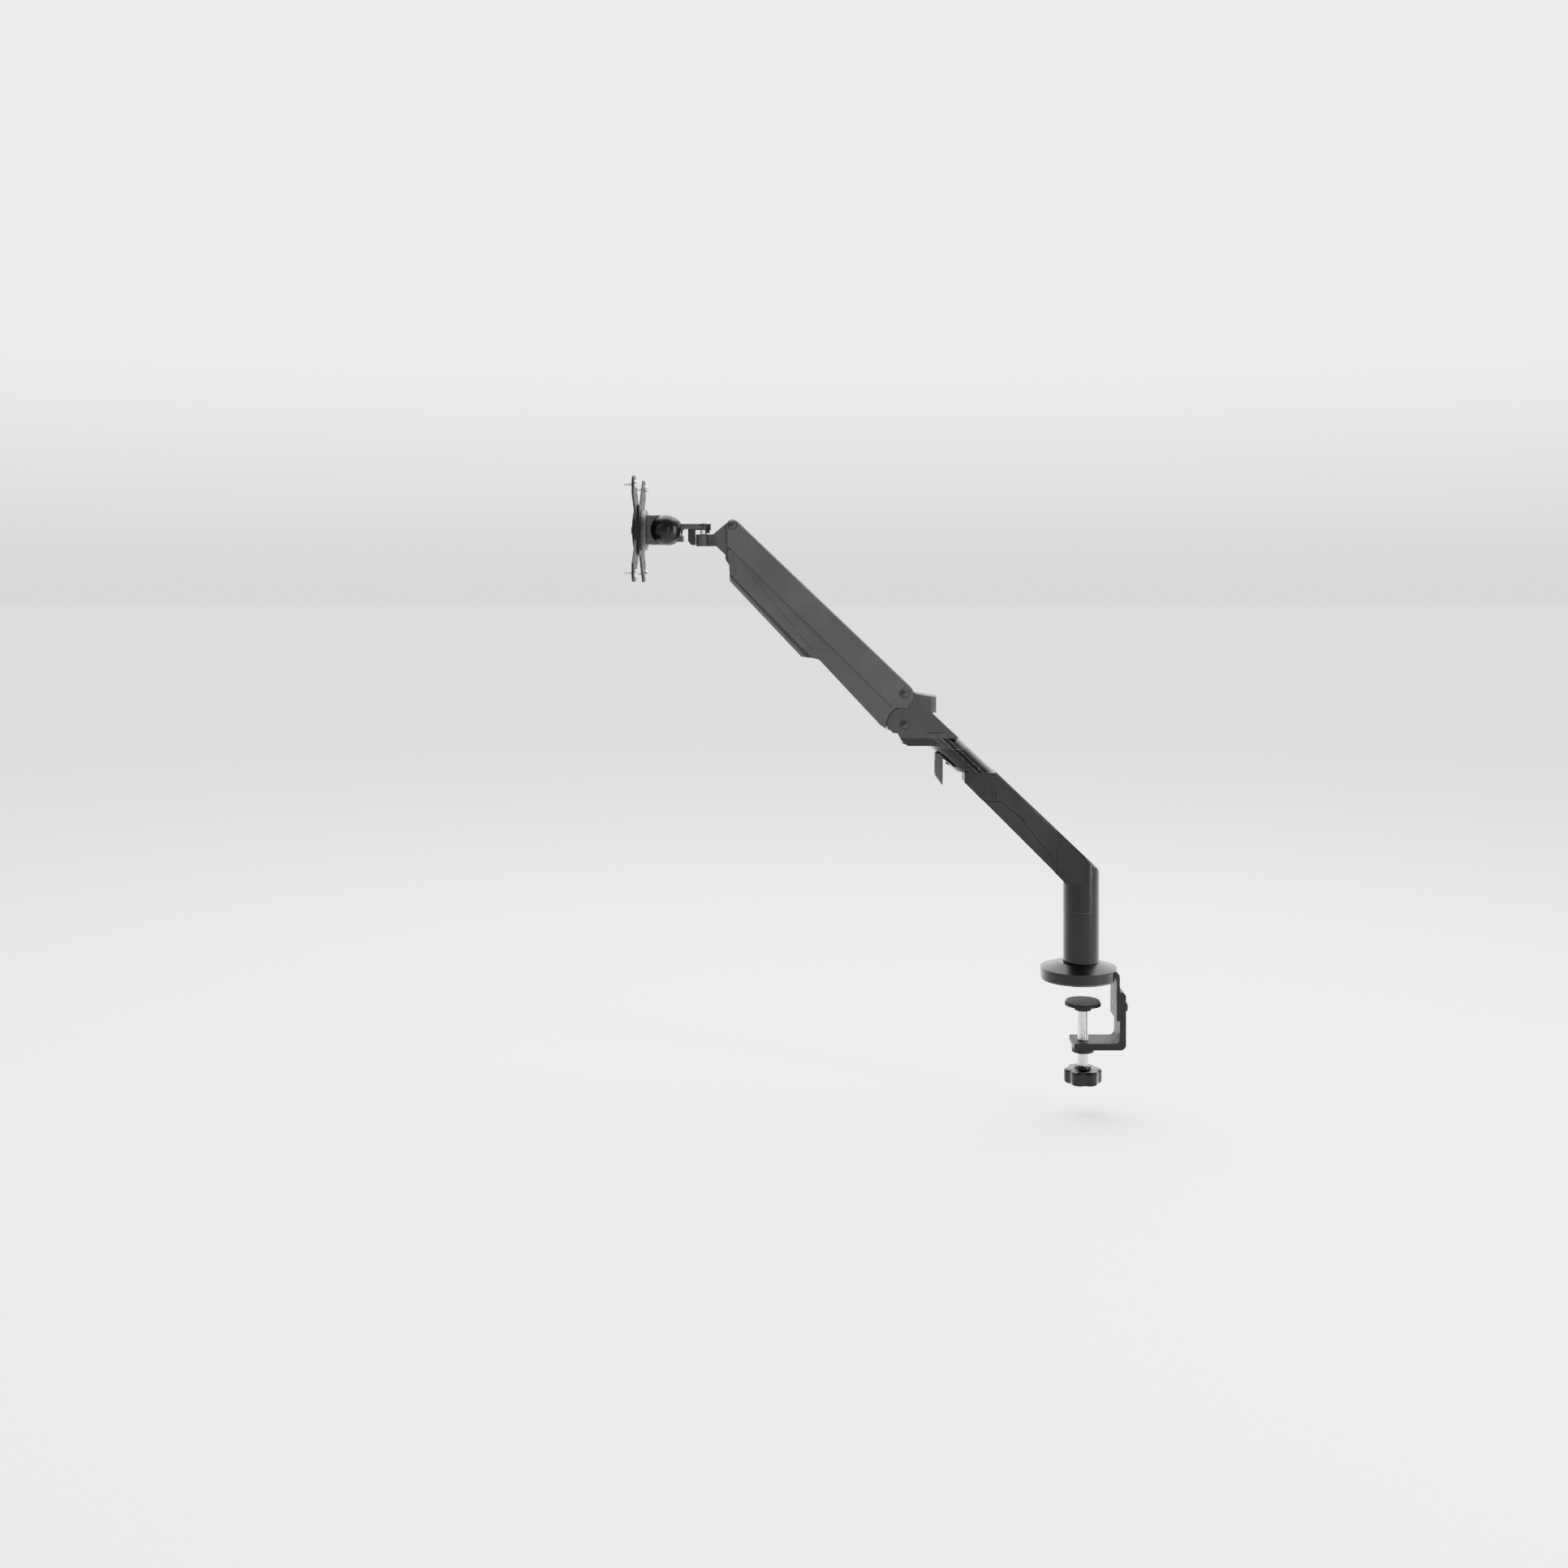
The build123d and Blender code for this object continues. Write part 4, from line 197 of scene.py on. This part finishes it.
def coating(name, colour, light, roughness, grain_mm, depth_mm, spread=0.08, metallic=0.0,
            dust=0.05, specular=0.3, gloss_from=()):
    """A coat or moulded skin.

    Fine noise at the grain's size makes the bump and mixes colour with light.
    Broad noise spreads the roughness and lays thin dust.
    Each gloss_from entry is an axis letter, where polish starts, and where it is full, in metres.
    """
    material = bpy.data.materials.new(name)
    material.use_nodes = True
    tree = material.node_tree
    shader = tree.nodes["Principled BSDF"]
    place = node(tree, "ShaderNodeTexCoord").outputs["Object"]
    grain = node(tree, "ShaderNodeTexNoise", {
        "Vector": place, "Scale": 1000 / grain_mm, "Detail": 3.0, "Roughness": 0.6})
    broad = node(tree, "ShaderNodeTexNoise", {
        "Vector": place, "Scale": BROAD_SCALE, "Detail": 5.0, "Roughness": 0.62})
    mottle = node(tree, "ShaderNodeMapRange", {
        "Value": grain.outputs["Fac"], "From Min": 0.3, "From Max": 0.7, "To Min": 0.0, "To Max": 0.55})
    skin = node(tree, "ShaderNodeMix", {
        "Factor": mottle.outputs["Result"], COLOUR_A: linear(colour), COLOUR_B: linear(light)},
        data_type="RGBA")
    haze = node(tree, "ShaderNodeMapRange", {
        "Value": broad.outputs["Fac"], "From Min": 0.45, "From Max": 0.75, "To Min": 0.0, "To Max": dust})
    worn = node(tree, "ShaderNodeMix", {
        "Factor": haze.outputs["Result"], COLOUR_A: skin.outputs[COLOUR_OUT], COLOUR_B: linear("#8d8d8c")},
        data_type="RGBA")
    gloss = node(tree, "ShaderNodeMapRange", {
        "Value": broad.outputs["Fac"], "From Min": 0.3, "From Max": 0.7,
        "To Min": roughness - spread / 2, "To Max": roughness + spread})
    tint, polish = worn.outputs[COLOUR_OUT], gloss.outputs["Result"]
    # a polished zone begins at a height or a reach, and is darker and shinier than the rest
    parts = node(tree, "ShaderNodeSeparateXYZ", {"Vector": place})
    for letter, start, end in gloss_from:
        zone = node(tree, "ShaderNodeMapRange", {
            "Value": parts.outputs[letter], "From Min": start, "From Max": end}).outputs["Result"]
        tint = node(tree, "ShaderNodeMix", {
            "Factor": zone, COLOUR_A: tint, COLOUR_B: linear("#040405")},
            data_type="RGBA").outputs[COLOUR_OUT]
        polish = node(tree, "ShaderNodeMapRange", {
            "Value": zone, "To Min": polish, "To Max": POLISH_ROUGHNESS}).outputs["Result"]
    relief = node(tree, "ShaderNodeBump", {
        "Height": grain.outputs["Fac"], "Strength": 0.5, "Distance": depth_mm / 1000})
    tree.links.new(tint, shader.inputs["Base Color"])
    tree.links.new(polish, shader.inputs["Roughness"])
    tree.links.new(relief.outputs["Normal"], shader.inputs["Normal"])
    shader.inputs["Metallic"].default_value = metallic
    shader.inputs["Specular IOR Level"].default_value = specular
    return material


finishes = {
    # polyester powder coat, matt: an even, faintly pebbled grey skin
    "charcoal_paint": coating(
        "polyester_powder_matt_charcoal", "#151618", "#1c1d1f", 0.55, 0.9, 0.05, spread=0.03, dust=0.03),
    # the same powder, a little darker and smoother, so its edges take a thin highlight
    "link_paint": coating(
        "polyester_powder_matt_graphite", "#151517", "#1e1f21", 0.48, 0.9, 0.05),
    # satin powder coat on die-cast metal: it shows the grain of the casting
    "arm_paint": coating(
        "polyester_powder_satin_die_cast", "#08080a", "#101113", 0.44, 0.9, 0.06, dust=0.02, specular=0.15),
    # smooth gloss coat on turned tube: narrow upright reflections on near black
    "pole_paint": coating(
        "smooth_gloss_black_tube", "#030304", "#050506", 0.16, 1.4, 0.010, dust=0.0, specular=0.12),
    # epoxy powder on pressed and cast clamp parts: dead black with a dull edge
    "clamp_paint": coating(
        "epoxy_powder_black", "#08080a", "#0e0e10", 0.52, 0.8, 0.05, dust=0.02, specular=0.1),
    # moulded ABS with a spark-eroded texture, coloured to match the powder coat
    "cover_plastic": coating(
        "abs_spark_eroded_charcoal", "#141517", "#1b1c1e", 0.55, 0.7, 0.045, spread=0.03, dust=0.03),
    # polished ABS: the highlight is sharp, with a slight haze of dust
    "gloss_cover": coating(
        "abs_polished_black", "#020203", "#040405", 0.24, 2.0, 0.006,
        spread=0.05, dust=0.01, specular=0.12),
    # black acetal, cut smooth: waxy, with a soft highlight
    "washer_plastic": coating(
        "acetal_black", "#0b0b0c", "#121213", 0.38, 1.2, 0.01, dust=0.02),
    # black oxide on steel: dark, with a tight grey highlight
    "black_screw": coating(
        "black_oxide_steel", "#0c0c0d", "#151517", 0.28, 0.6, 0.008, metallic=0.3, dust=0.02),
    # natural acetal, cut smooth: milky white
    "bush_plastic": coating(
        "acetal_natural", "#cfcdc4", "#dddbd2", 0.38, 1.2, 0.01, dust=0.02),
    # nitrile rubber, moulded, dry and dusty
    "pad_rubber": coating(
        "nitrile_rubber_moulded", "#151516", "#232324", 0.78, 0.5, 0.05, dust=0.2),
}
print("coated finishes:", len(finishes))

# %% Finishes of single nodes
# where a polished zone meets a matt one, the change takes 0.4 mm
BLEND = 0.2 * MM
neck_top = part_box("elbow_bracket")[0][2] + 12.7 * MM
COLLAR_X = -31.0 * MM
COLLAR_Z = 240.3 * MM
own_finish = {
    # the elbow is matt above its lower ledge and polished on its neck, 12.7 mm high
    "elbow_bracket": coating(
        "powder_matt_over_polished_neck", "#151618", "#1c1d1f", 0.55, 0.9, 0.05,
        spread=0.03, dust=0.03, specular=0.2, gloss_from=[("Z", neck_top + BLEND, neck_top - BLEND)]),
    # the lower arm is polished round the pole and on its upper neck, and satin between
    "lower_arm": coating(
        "powder_satin_with_polished_ends", "#08080a", "#111214", 0.46, 0.9, 0.06,
        dust=0.02, specular=0.12,
        gloss_from=[("X", COLLAR_X - BLEND, COLLAR_X + BLEND), ("Z", COLLAR_Z - BLEND, COLLAR_Z + BLEND)]),
    # satin ABS, darker than the links above it
    "duct_cover": coating(
        "abs_satin_black", "#08080a", "#0f0f11", 0.40, 0.8, 0.04, dust=0.02, specular=0.22),
    # satin ABS that matches the casting it clips on to
    "lower_cable_cover": coating(
        "abs_satin_graphite", "#08080a", "#111214", 0.46, 0.9, 0.05, dust=0.02, specular=0.12),
    # smooth ABS round the head's pivot: black, with a soft highlight
    "pan_cover": coating(
        "abs_gloss_black", "#040405", "#080809", 0.30, 1.0, 0.01, dust=0.02, specular=0.22),
}
print("finishes of single nodes:", len(own_finish))


# %% Bare metals
def bare_metal(name, colour, light, roughness, lay_mm, stretch, depth_mm=0.01):
    """Turned or plated metal.

    Noise squeezed along one axis draws the tool's lay: its spacing is lay_mm,
    and each line is stretch times as long.
    """
    material = bpy.data.materials.new(name)
    material.use_nodes = True
    tree = material.node_tree
    shader = tree.nodes["Principled BSDF"]
    place = node(tree, "ShaderNodeTexCoord").outputs["Object"]
    lay = node(tree, "ShaderNodeMapping", {"Vector": place, "Scale": (1.0, 1.0 / stretch, 1.0)})
    lines = node(tree, "ShaderNodeTexNoise", {
        "Vector": lay.outputs["Vector"], "Scale": 1000 / lay_mm, "Detail": 4.0})
    blend = node(tree, "ShaderNodeMix", {
        "Factor": lines.outputs["Fac"], COLOUR_A: linear(colour), COLOUR_B: linear(light)},
        data_type="RGBA")
    rough = node(tree, "ShaderNodeMapRange", {
        "Value": lines.outputs["Fac"], "To Min": roughness - 0.05, "To Max": roughness + 0.1})
    relief = node(tree, "ShaderNodeBump", {
        "Height": lines.outputs["Fac"], "Strength": 0.4, "Distance": depth_mm / 1000})
    tree.links.new(blend.outputs[COLOUR_OUT], shader.inputs["Base Color"])
    tree.links.new(rough.outputs["Result"], shader.inputs["Roughness"])
    tree.links.new(relief.outputs["Normal"], shader.inputs["Normal"])
    shader.inputs["Metallic"].default_value = 1.0
    return material


# zinc-plated steel, slightly blue-white
finishes["bright_steel"] = bare_metal("zinc_plated_steel", "#a9abae", "#cfd1d3", 0.28, 0.5, 6.0)
# hard chrome on a ground rod
finishes["strut_chrome"] = bare_metal("hard_chrome_ground", "#c9cacc", "#e2e3e4", 0.10, 0.6, 10.0, 0.003)

node_slot = {part["node"]: part["material_slot"] for part in frame["record"]["subparts"]}
for name, obj in nodes.items():
    obj.data.materials.clear()
    obj.data.materials.append(own_finish.get(name, finishes[node_slot[name]]))
print("finished", len(nodes), "nodes")

# %% Soft edges on the castings and covers
# castings, pressings and mouldings have edges rounded by half a millimetre or so, which catch the light
EDGE_MM = {
    "charcoal_paint": 0.6, "link_paint": 0.5, "arm_paint": 0.9, "pole_paint": 0.5, "clamp_paint": 0.5,
    "cover_plastic": 0.5, "gloss_cover": 0.8, "black_screw": 0.25, "bright_steel": 0.2}
EDGE_ANGLE = math.radians(32)
EDGE_SEGMENTS = 2
WELD_DISTANCE = 1e-6
for name, obj in nodes.items():
    if node_slot[name] not in EDGE_MM:
        continue
    weld = obj.modifiers.new("weld", "WELD")
    weld.merge_threshold = WELD_DISTANCE
    bevel = obj.modifiers.new("edges", "BEVEL")
    bevel.width = EDGE_MM[node_slot[name]] / 1000
    bevel.segments = EDGE_SEGMENTS
    bevel.limit_method = "ANGLE"
    bevel.angle_limit = EDGE_ANGLE
    smooth = obj.modifiers.new("normals", "WEIGHTED_NORMAL")
    smooth.keep_sharp = True
print("edges softened on", sum(1 for n in nodes if node_slot[n] in EDGE_MM), "nodes")

# %% [markdown]
# ## Turned and moulded pieces
# Screws, the threaded spindle and the knob are small but they show how the arm is made,
# so they get their own surfaces.
# Each is one grid: a profile carried round an axis, with a formula that shapes the radius or the height.
# A grid worked out as whole arrays stays closed and smooth, and its two ends close at a pole.


# %% A closed grid carried round an axis
SHARP_ANGLE = math.radians(40)


def wrap(name, rings, body, slot, replaces=None):
    """Join rings of points, each closed round the axis.

    A fan to the ring's middle point closes each end.
    """
    rows, count = rings.shape[:2]
    ends = np.array([rings[0].mean(axis=0), rings[-1].mean(axis=0)])
    points = np.concatenate([rings.reshape(-1, 3), ends])
    here = np.arange(rows * count).reshape(rows, count)
    after = np.roll(here, -1, axis=1)
    quads = np.stack([here[:-1], after[:-1], after[1:], here[1:]], axis=-1).reshape(-1, 4)
    first, last = rows * count, rows * count + 1
    start = np.stack([after[0], here[0], np.full(count, first)], axis=-1)
    close = np.stack([here[-1], after[-1], np.full(count, last)], axis=-1)
    mesh = bpy.data.meshes.new(name)
    mesh.from_pydata(points.tolist(), [], quads.tolist() + start.tolist() + close.tolist())
    mesh.polygons.foreach_set("use_smooth", np.ones(len(mesh.polygons), dtype=bool))
    mesh.set_sharp_from_angle(angle=SHARP_ANGLE)
    piece = bpy.data.objects.new(name, mesh)
    bpy.context.scene.collection.objects.link(piece)
    mesh.materials.append(finishes[slot])
    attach(piece, body)
    if replaces:
        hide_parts(replaces)
    print(name, len(mesh.polygons), "faces")


def frame_of(axis):
    """Two unit directions square to an axis, so that first, second and axis are right-handed."""
    axis = np.array(axis, dtype=float)
    helper = np.array([0.0, 0.0, 1.0]) if abs(axis[2]) < 0.9 else np.array([1.0, 0.0, 0.0])
    first = np.cross(helper, axis)
    first /= np.linalg.norm(first)
    return first, np.cross(axis, first), axis


def turned(profile, centre, axis, count=64, shape=None):
    """Rings of a turned piece, from profile pairs of radius and height.

    A point is centre + radius (cos a, sin a) + height along the axis.
    A shape function may change radius and height with the angle.
    """
    first, second, along = frame_of(axis)
    radius, height = (column[:, None] for column in np.array(profile, dtype=float).T)
    angle = np.linspace(0, 2 * np.pi, count, endpoint=False)
    radius, height, angle = np.broadcast_arrays(radius, height, angle)
    if shape:
        radius, height = shape(radius, height, angle)
    flat = radius[..., None] * (np.cos(angle)[..., None] * first + np.sin(angle)[..., None] * second)
    return np.array(centre, dtype=float) + flat + height[..., None] * along


def arc(middle, size, start, end, steps):
    """Points of an arc in the profile: middle + size (cos a, sin a), from start to end in degrees."""
    a = np.radians(np.linspace(start, end, steps))
    return [(middle[0] + size[0] * c, middle[1] + size[1] * d) for c, d in zip(np.cos(a), np.sin(a))]


print("grid helpers: wrap, turned, arc")

# %% [markdown]
# ## Pivot screws
# The spring arm hangs on six shouldered screws.
# Their heads are turned with a thin flange, a groove and a polished dome that takes one soft highlight.

# %% Domed pivot screws
SHANK_R, SHANK_TIP_R, SHANK_CHAMFER = 3.0 * MM, 2.2 * MM, 0.8 * MM
FLANGE_R, GROOVE_R, CROWN_R, FLANGE_EDGE = 5.35 * MM, 4.5 * MM, 4.2 * MM, 0.15 * MM
HEAD_T = 2.4 * MM
# the lower pair's heads sit this much nearer the arm's middle plane
LOWER_STEP = 2.6 * MM
# how far from the middle plane each shank begins
UPPER_INNER, LOWER_INNER, HEAD_INNER = 16.6 * MM, 14.0 * MM, 11.7 * MM


def pivot_screw(name, centre, outward, inner, top, body, node_name):
    """A shouldered screw along Y: a shank from inner to the seat, then a head of height rise up to top.

    The flange is 0.3 rise thick, the groove goes down to 0.14 rise, and the dome ends at rise.
    Heights are distances from the arm's middle plane.
    """
    rise = HEAD_T
    seat = top - rise
    flange_top, groove_low = seat + 0.3 * rise, seat + 0.14 * rise
    profile = [(SHANK_TIP_R, inner), (SHANK_R, inner + SHANK_CHAMFER), (SHANK_R, seat), (FLANGE_R, seat),
               (FLANGE_R, flange_top - FLANGE_EDGE), (FLANGE_R - FLANGE_EDGE, flange_top),
               (GROOVE_R, flange_top), (GROOVE_R, groove_low), (CROWN_R, groove_low)]
    profile += arc((0.0, seat + 0.34 * rise), (CROWN_R, 0.66 * rise), 0, 88, 12)
    wrap(name, turned(profile, centre, (0, outward, 0)), body, "black_screw", node_name)


sides = ((1, "far"), (-1, "near"))
low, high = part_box("shoulder_screws")
pivot_x = (low[0] + high[0]) / 2
head_r = (high[0] - low[0]) / 2
for outward, side in sides:
    pivot_screw("upper_pivot_screw_" + side, (pivot_x, 0, high[2] - head_r), outward,
                UPPER_INNER, high[1], "elbow", "shoulder_screws")
    pivot_screw("lower_pivot_screw_" + side, (pivot_x, 0, low[2] + head_r), outward,
                LOWER_INNER, high[1] - LOWER_STEP, "elbow", "shoulder_screws")
low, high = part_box("head_screws")
for outward, side in sides:
    pivot_screw("head_pivot_screw_" + side, ((low[0] + high[0]) / 2, 0, (low[2] + high[2]) / 2), outward,
                HEAD_INNER, high[1], "head", "head_screws")

# %% [markdown]
# ## Clamp spindle and knob
# The spindle has a rolled 12 mm thread of 1.75 mm pitch.
# The knob is moulded with six finger lobes and rounded edges.

# %% Rolled thread
low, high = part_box("clamp_screw")
spindle = ((low[0] + high[0]) / 2, (low[1] + high[1]) / 2)
spindle_r = (high[0] - low[0]) / 2
length = high[2] - low[2]
PITCH, THREAD_DEPTH = 1.75 * MM, 0.95 * MM
ROWS_PER_TURN = 10
# both ends are chamfered, and the thread is cut only where the radius is over CORE_R
CHAMFER_R, CHAMFER_H, CORE_R = 1.6 * MM, 0.8 * MM, 5.5 * MM


def thread(radius, height, angle):
    """A thread: the radius dips by a rounded wave.

    Its phase is height / pitch minus one turn of the angle. The dip fades out at both ends, over two turns.
    """
    phase = height / PITCH - angle / (2 * np.pi)
    wave = 0.5 + 0.5 * np.cos(2 * np.pi * phase)
    ends = np.clip(np.minimum(height, length - height) / (2 * PITCH), 0, 1)
    return radius - THREAD_DEPTH * np.clip(1.3 * wave - 0.15, 0, 1) * ends * (radius > CORE_R), height


heights = np.linspace(CHAMFER_H, length - CHAMFER_H, int(length / PITCH * ROWS_PER_TURN))
tip_r = spindle_r - CHAMFER_R
profile = [(tip_r, 0.0)] + [(spindle_r, h) for h in heights] + [(tip_r, length)]
wrap("clamp_spindle_thread", turned(profile, (*spindle, low[2]), (0, 0, 1), 40, thread),
     "clamp_spindle", "bright_steel", "clamp_screw")

# %% Lobed knob
low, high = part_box("clamp_knob")
COLLAR_H = 4 * MM
LOBES, LOBE_DEPTH, LOBE_START = 6, 3.2 * MM, 0.55
LOW_ROUND, HIGH_ROUND = 3 * MM, 2.5 * MM
knob_r = (high[1] - low[1]) / 2
knob_h = high[2] - low[2] - COLLAR_H


def lobes(radius, height, angle):
    """Hollows between the lobes, deepest where cos(6 angle) is 1.

    The radius falls by up to 3.2 mm at the rim, and not at all within 0.55 of the knob's radius.
    """
    hollow = (0.5 + 0.5 * np.cos(LOBES * angle)) ** 1.6
    reach = np.clip(radius / knob_r - LOBE_START, 0, 1) / (1 - LOBE_START)
    return radius - LOBE_DEPTH * hollow * reach, height


# a shallow dish underneath, the rounded rim, then the top
profile = [(2 * MM, 0.4 * MM), (9 * MM, 0.4 * MM), (11 * MM, 0.0), (knob_r - LOW_ROUND, 0.0)]
profile += arc((knob_r - LOW_ROUND, LOW_ROUND), (LOW_ROUND, LOW_ROUND), -80, 0, 8)
profile += [(knob_r, knob_h * 0.5)]
profile += arc((knob_r - HIGH_ROUND, knob_h - HIGH_ROUND), (HIGH_ROUND, HIGH_ROUND), 0, 80, 8)
# the collar round the spindle, with a fillet at its foot and a chamfer at its top
profile += [(13 * MM, knob_h), (11 * MM, knob_h + 0.6 * MM), (10 * MM, knob_h + 1.2 * MM),
            (9.7 * MM, knob_h + COLLAR_H - 0.4 * MM), (9.3 * MM, knob_h + COLLAR_H),
            (6.2 * MM, knob_h + COLLAR_H)]
wrap("clamp_knob_moulding", turned(profile, (*spindle, low[2]), (0, 0, 1), 120, lobes),
     "clamp_spindle", "gloss_cover", "clamp_knob")

# %% [markdown]
# ## Monitor screws
# Four zinc-plated M4 screws with pan heads and a cross recess hold the monitor.
# Their thread has 0.7 mm pitch.

# %% Cross-head screws
low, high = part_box("vesa_screws")
SCREW_HEAD_R, SCREW_HEAD_H, HEAD_ROUND = 4.5 * MM, 4.0 * MM, 1.6 * MM
CROWN_RISE, CROWN_EDGE_MM = 0.15 * MM, 2.8
SHOULDER_R, SCREW_R, SCREW_TIP_R = 2.2 * MM, 2.0 * MM, 1.5 * MM
SCREW_PITCH, SCREW_THREAD_DEPTH = 0.7 * MM, 0.35 * MM
RECESS_DEPTH, RECESS_HALF, RECESS_REACH, RECESS_FLOOR = 1.8 * MM, 0.55 * MM, 2.4 * MM, 1.0 * MM
# the shoulder passes through the plate
grip = SCREW_HEAD_H + 2.6 * MM
total = high[0] - low[0]
thread_start, thread_end = grip + 0.3 * MM, total - 0.5 * MM


def cross_recess(radius, height, angle):
    """A cross cut into the head: depth 1.8 mm within 0.55 mm of either diameter, out to 2.4 mm.

    Behind the plate the radius follows the thread's wave.
    """
    x, y = radius * np.cos(angle), radius * np.sin(angle)
    slot = np.minimum(abs(x), abs(y)) < RECESS_HALF
    cut = slot & (radius < RECESS_REACH) & (height < RECESS_FLOOR)
    wave = 0.5 + 0.5 * np.cos(2 * np.pi * (height / SCREW_PITCH - angle / (2 * np.pi)))
    threaded = (height > thread_start) & (height < thread_end)
    radius = radius - np.where(threaded, SCREW_THREAD_DEPTH * wave, 0.0)
    return radius, height + np.where(cut, RECESS_DEPTH, 0.0)


# the crown falls away with the square of the radius, and the head ends in a rounded edge
crown = np.linspace(0.05, CROWN_EDGE_MM, 22) * MM
profile = [(r, CROWN_RISE * (r / SCREW_HEAD_R) ** 2) for r in crown]
profile += arc((SCREW_HEAD_R - HEAD_ROUND, HEAD_ROUND), (HEAD_ROUND, HEAD_ROUND), -88, 0, 8)
profile += [(SCREW_HEAD_R, SCREW_HEAD_H - 0.2 * MM), (SCREW_HEAD_R - 0.2 * MM, SCREW_HEAD_H),
            (SHOULDER_R, SCREW_HEAD_H), (SHOULDER_R, grip), (SCREW_R, grip)]
profile += [(SCREW_R, h) for h in np.linspace(thread_start, thread_end, 110)] + [(SCREW_TIP_R, total)]
for row, z in (("low", low[2] + SCREW_HEAD_R), ("high", high[2] - SCREW_HEAD_R)):
    for side, y in (("near", low[1] + SCREW_HEAD_R), ("far", high[1] - SCREW_HEAD_R)):
        wrap("monitor_screw_" + row + "_" + side,
             turned(profile, (high[0], y, z), (-1, 0, 0), 48, cross_recess),
             "plate", "bright_steel", "vesa_screws")

# %% [markdown]
# ## Painted shade behind the cable cover
# A dark strip with the rubber finish sits behind the clip-on cable cover's seam as painted shade, so the
# seam looks black and no light comes through.

# %% Dark strip in the seam, as painted shade
# the strip is painted shade: a dark piece that makes the cover's seam look black
SHADE_STRIP_T = 1.4 * MM
SHADE_STRIP_HALF = 12.8 * MM
SHADE_STRIP_RINGS, SHADE_STRIP_COUNT = 60, 24
# the seam's line in the arm's middle plane, metres, from the elbow end to the pole end
seam = np.array([
    (-0.1060, 0.2077), (-0.0946, 0.2073), (-0.0724, 0.1887), (-0.0560, 0.1682), (-0.0362, 0.1430)])
run = np.append(0, np.cumsum(np.linalg.norm(np.diff(seam, axis=0), axis=1)))
steps = np.linspace(0, run[-1], SHADE_STRIP_RINGS)
line = np.stack([np.interp(steps, run, seam[:, 0]), np.interp(steps, run, seam[:, 1])], axis=1)
heading = np.gradient(line, axis=0)
heading /= np.linalg.norm(heading, axis=1)[:, None]
across_line = np.stack([-heading[:, 1], heading[:, 0]], axis=1)
# each ring is a rounded rectangle: |u|^6 + |v|^6 = 1, u across the arm and v across the strip
turn = np.linspace(0, 2 * np.pi, SHADE_STRIP_COUNT, endpoint=False)
u = np.sign(np.cos(turn)) * abs(np.cos(turn)) ** (1 / 3)
v = np.sign(np.sin(turn)) * abs(np.sin(turn)) ** (1 / 3)
offset = across_line[:, None, :] * (v * SHADE_STRIP_T / 2)[None, :, None]
rings = np.stack([
    line[:, None, 0] + offset[..., 0],
    -u[None, :] * SHADE_STRIP_HALF + 0 * steps[:, None],
    line[:, None, 1] + offset[..., 1]], axis=-1)
# painted shade: a dark strip behind the seam, so the seam reads black
wrap("cable_cover_seam_painted_shade", rings, "lower_arm", "pad_rubber")
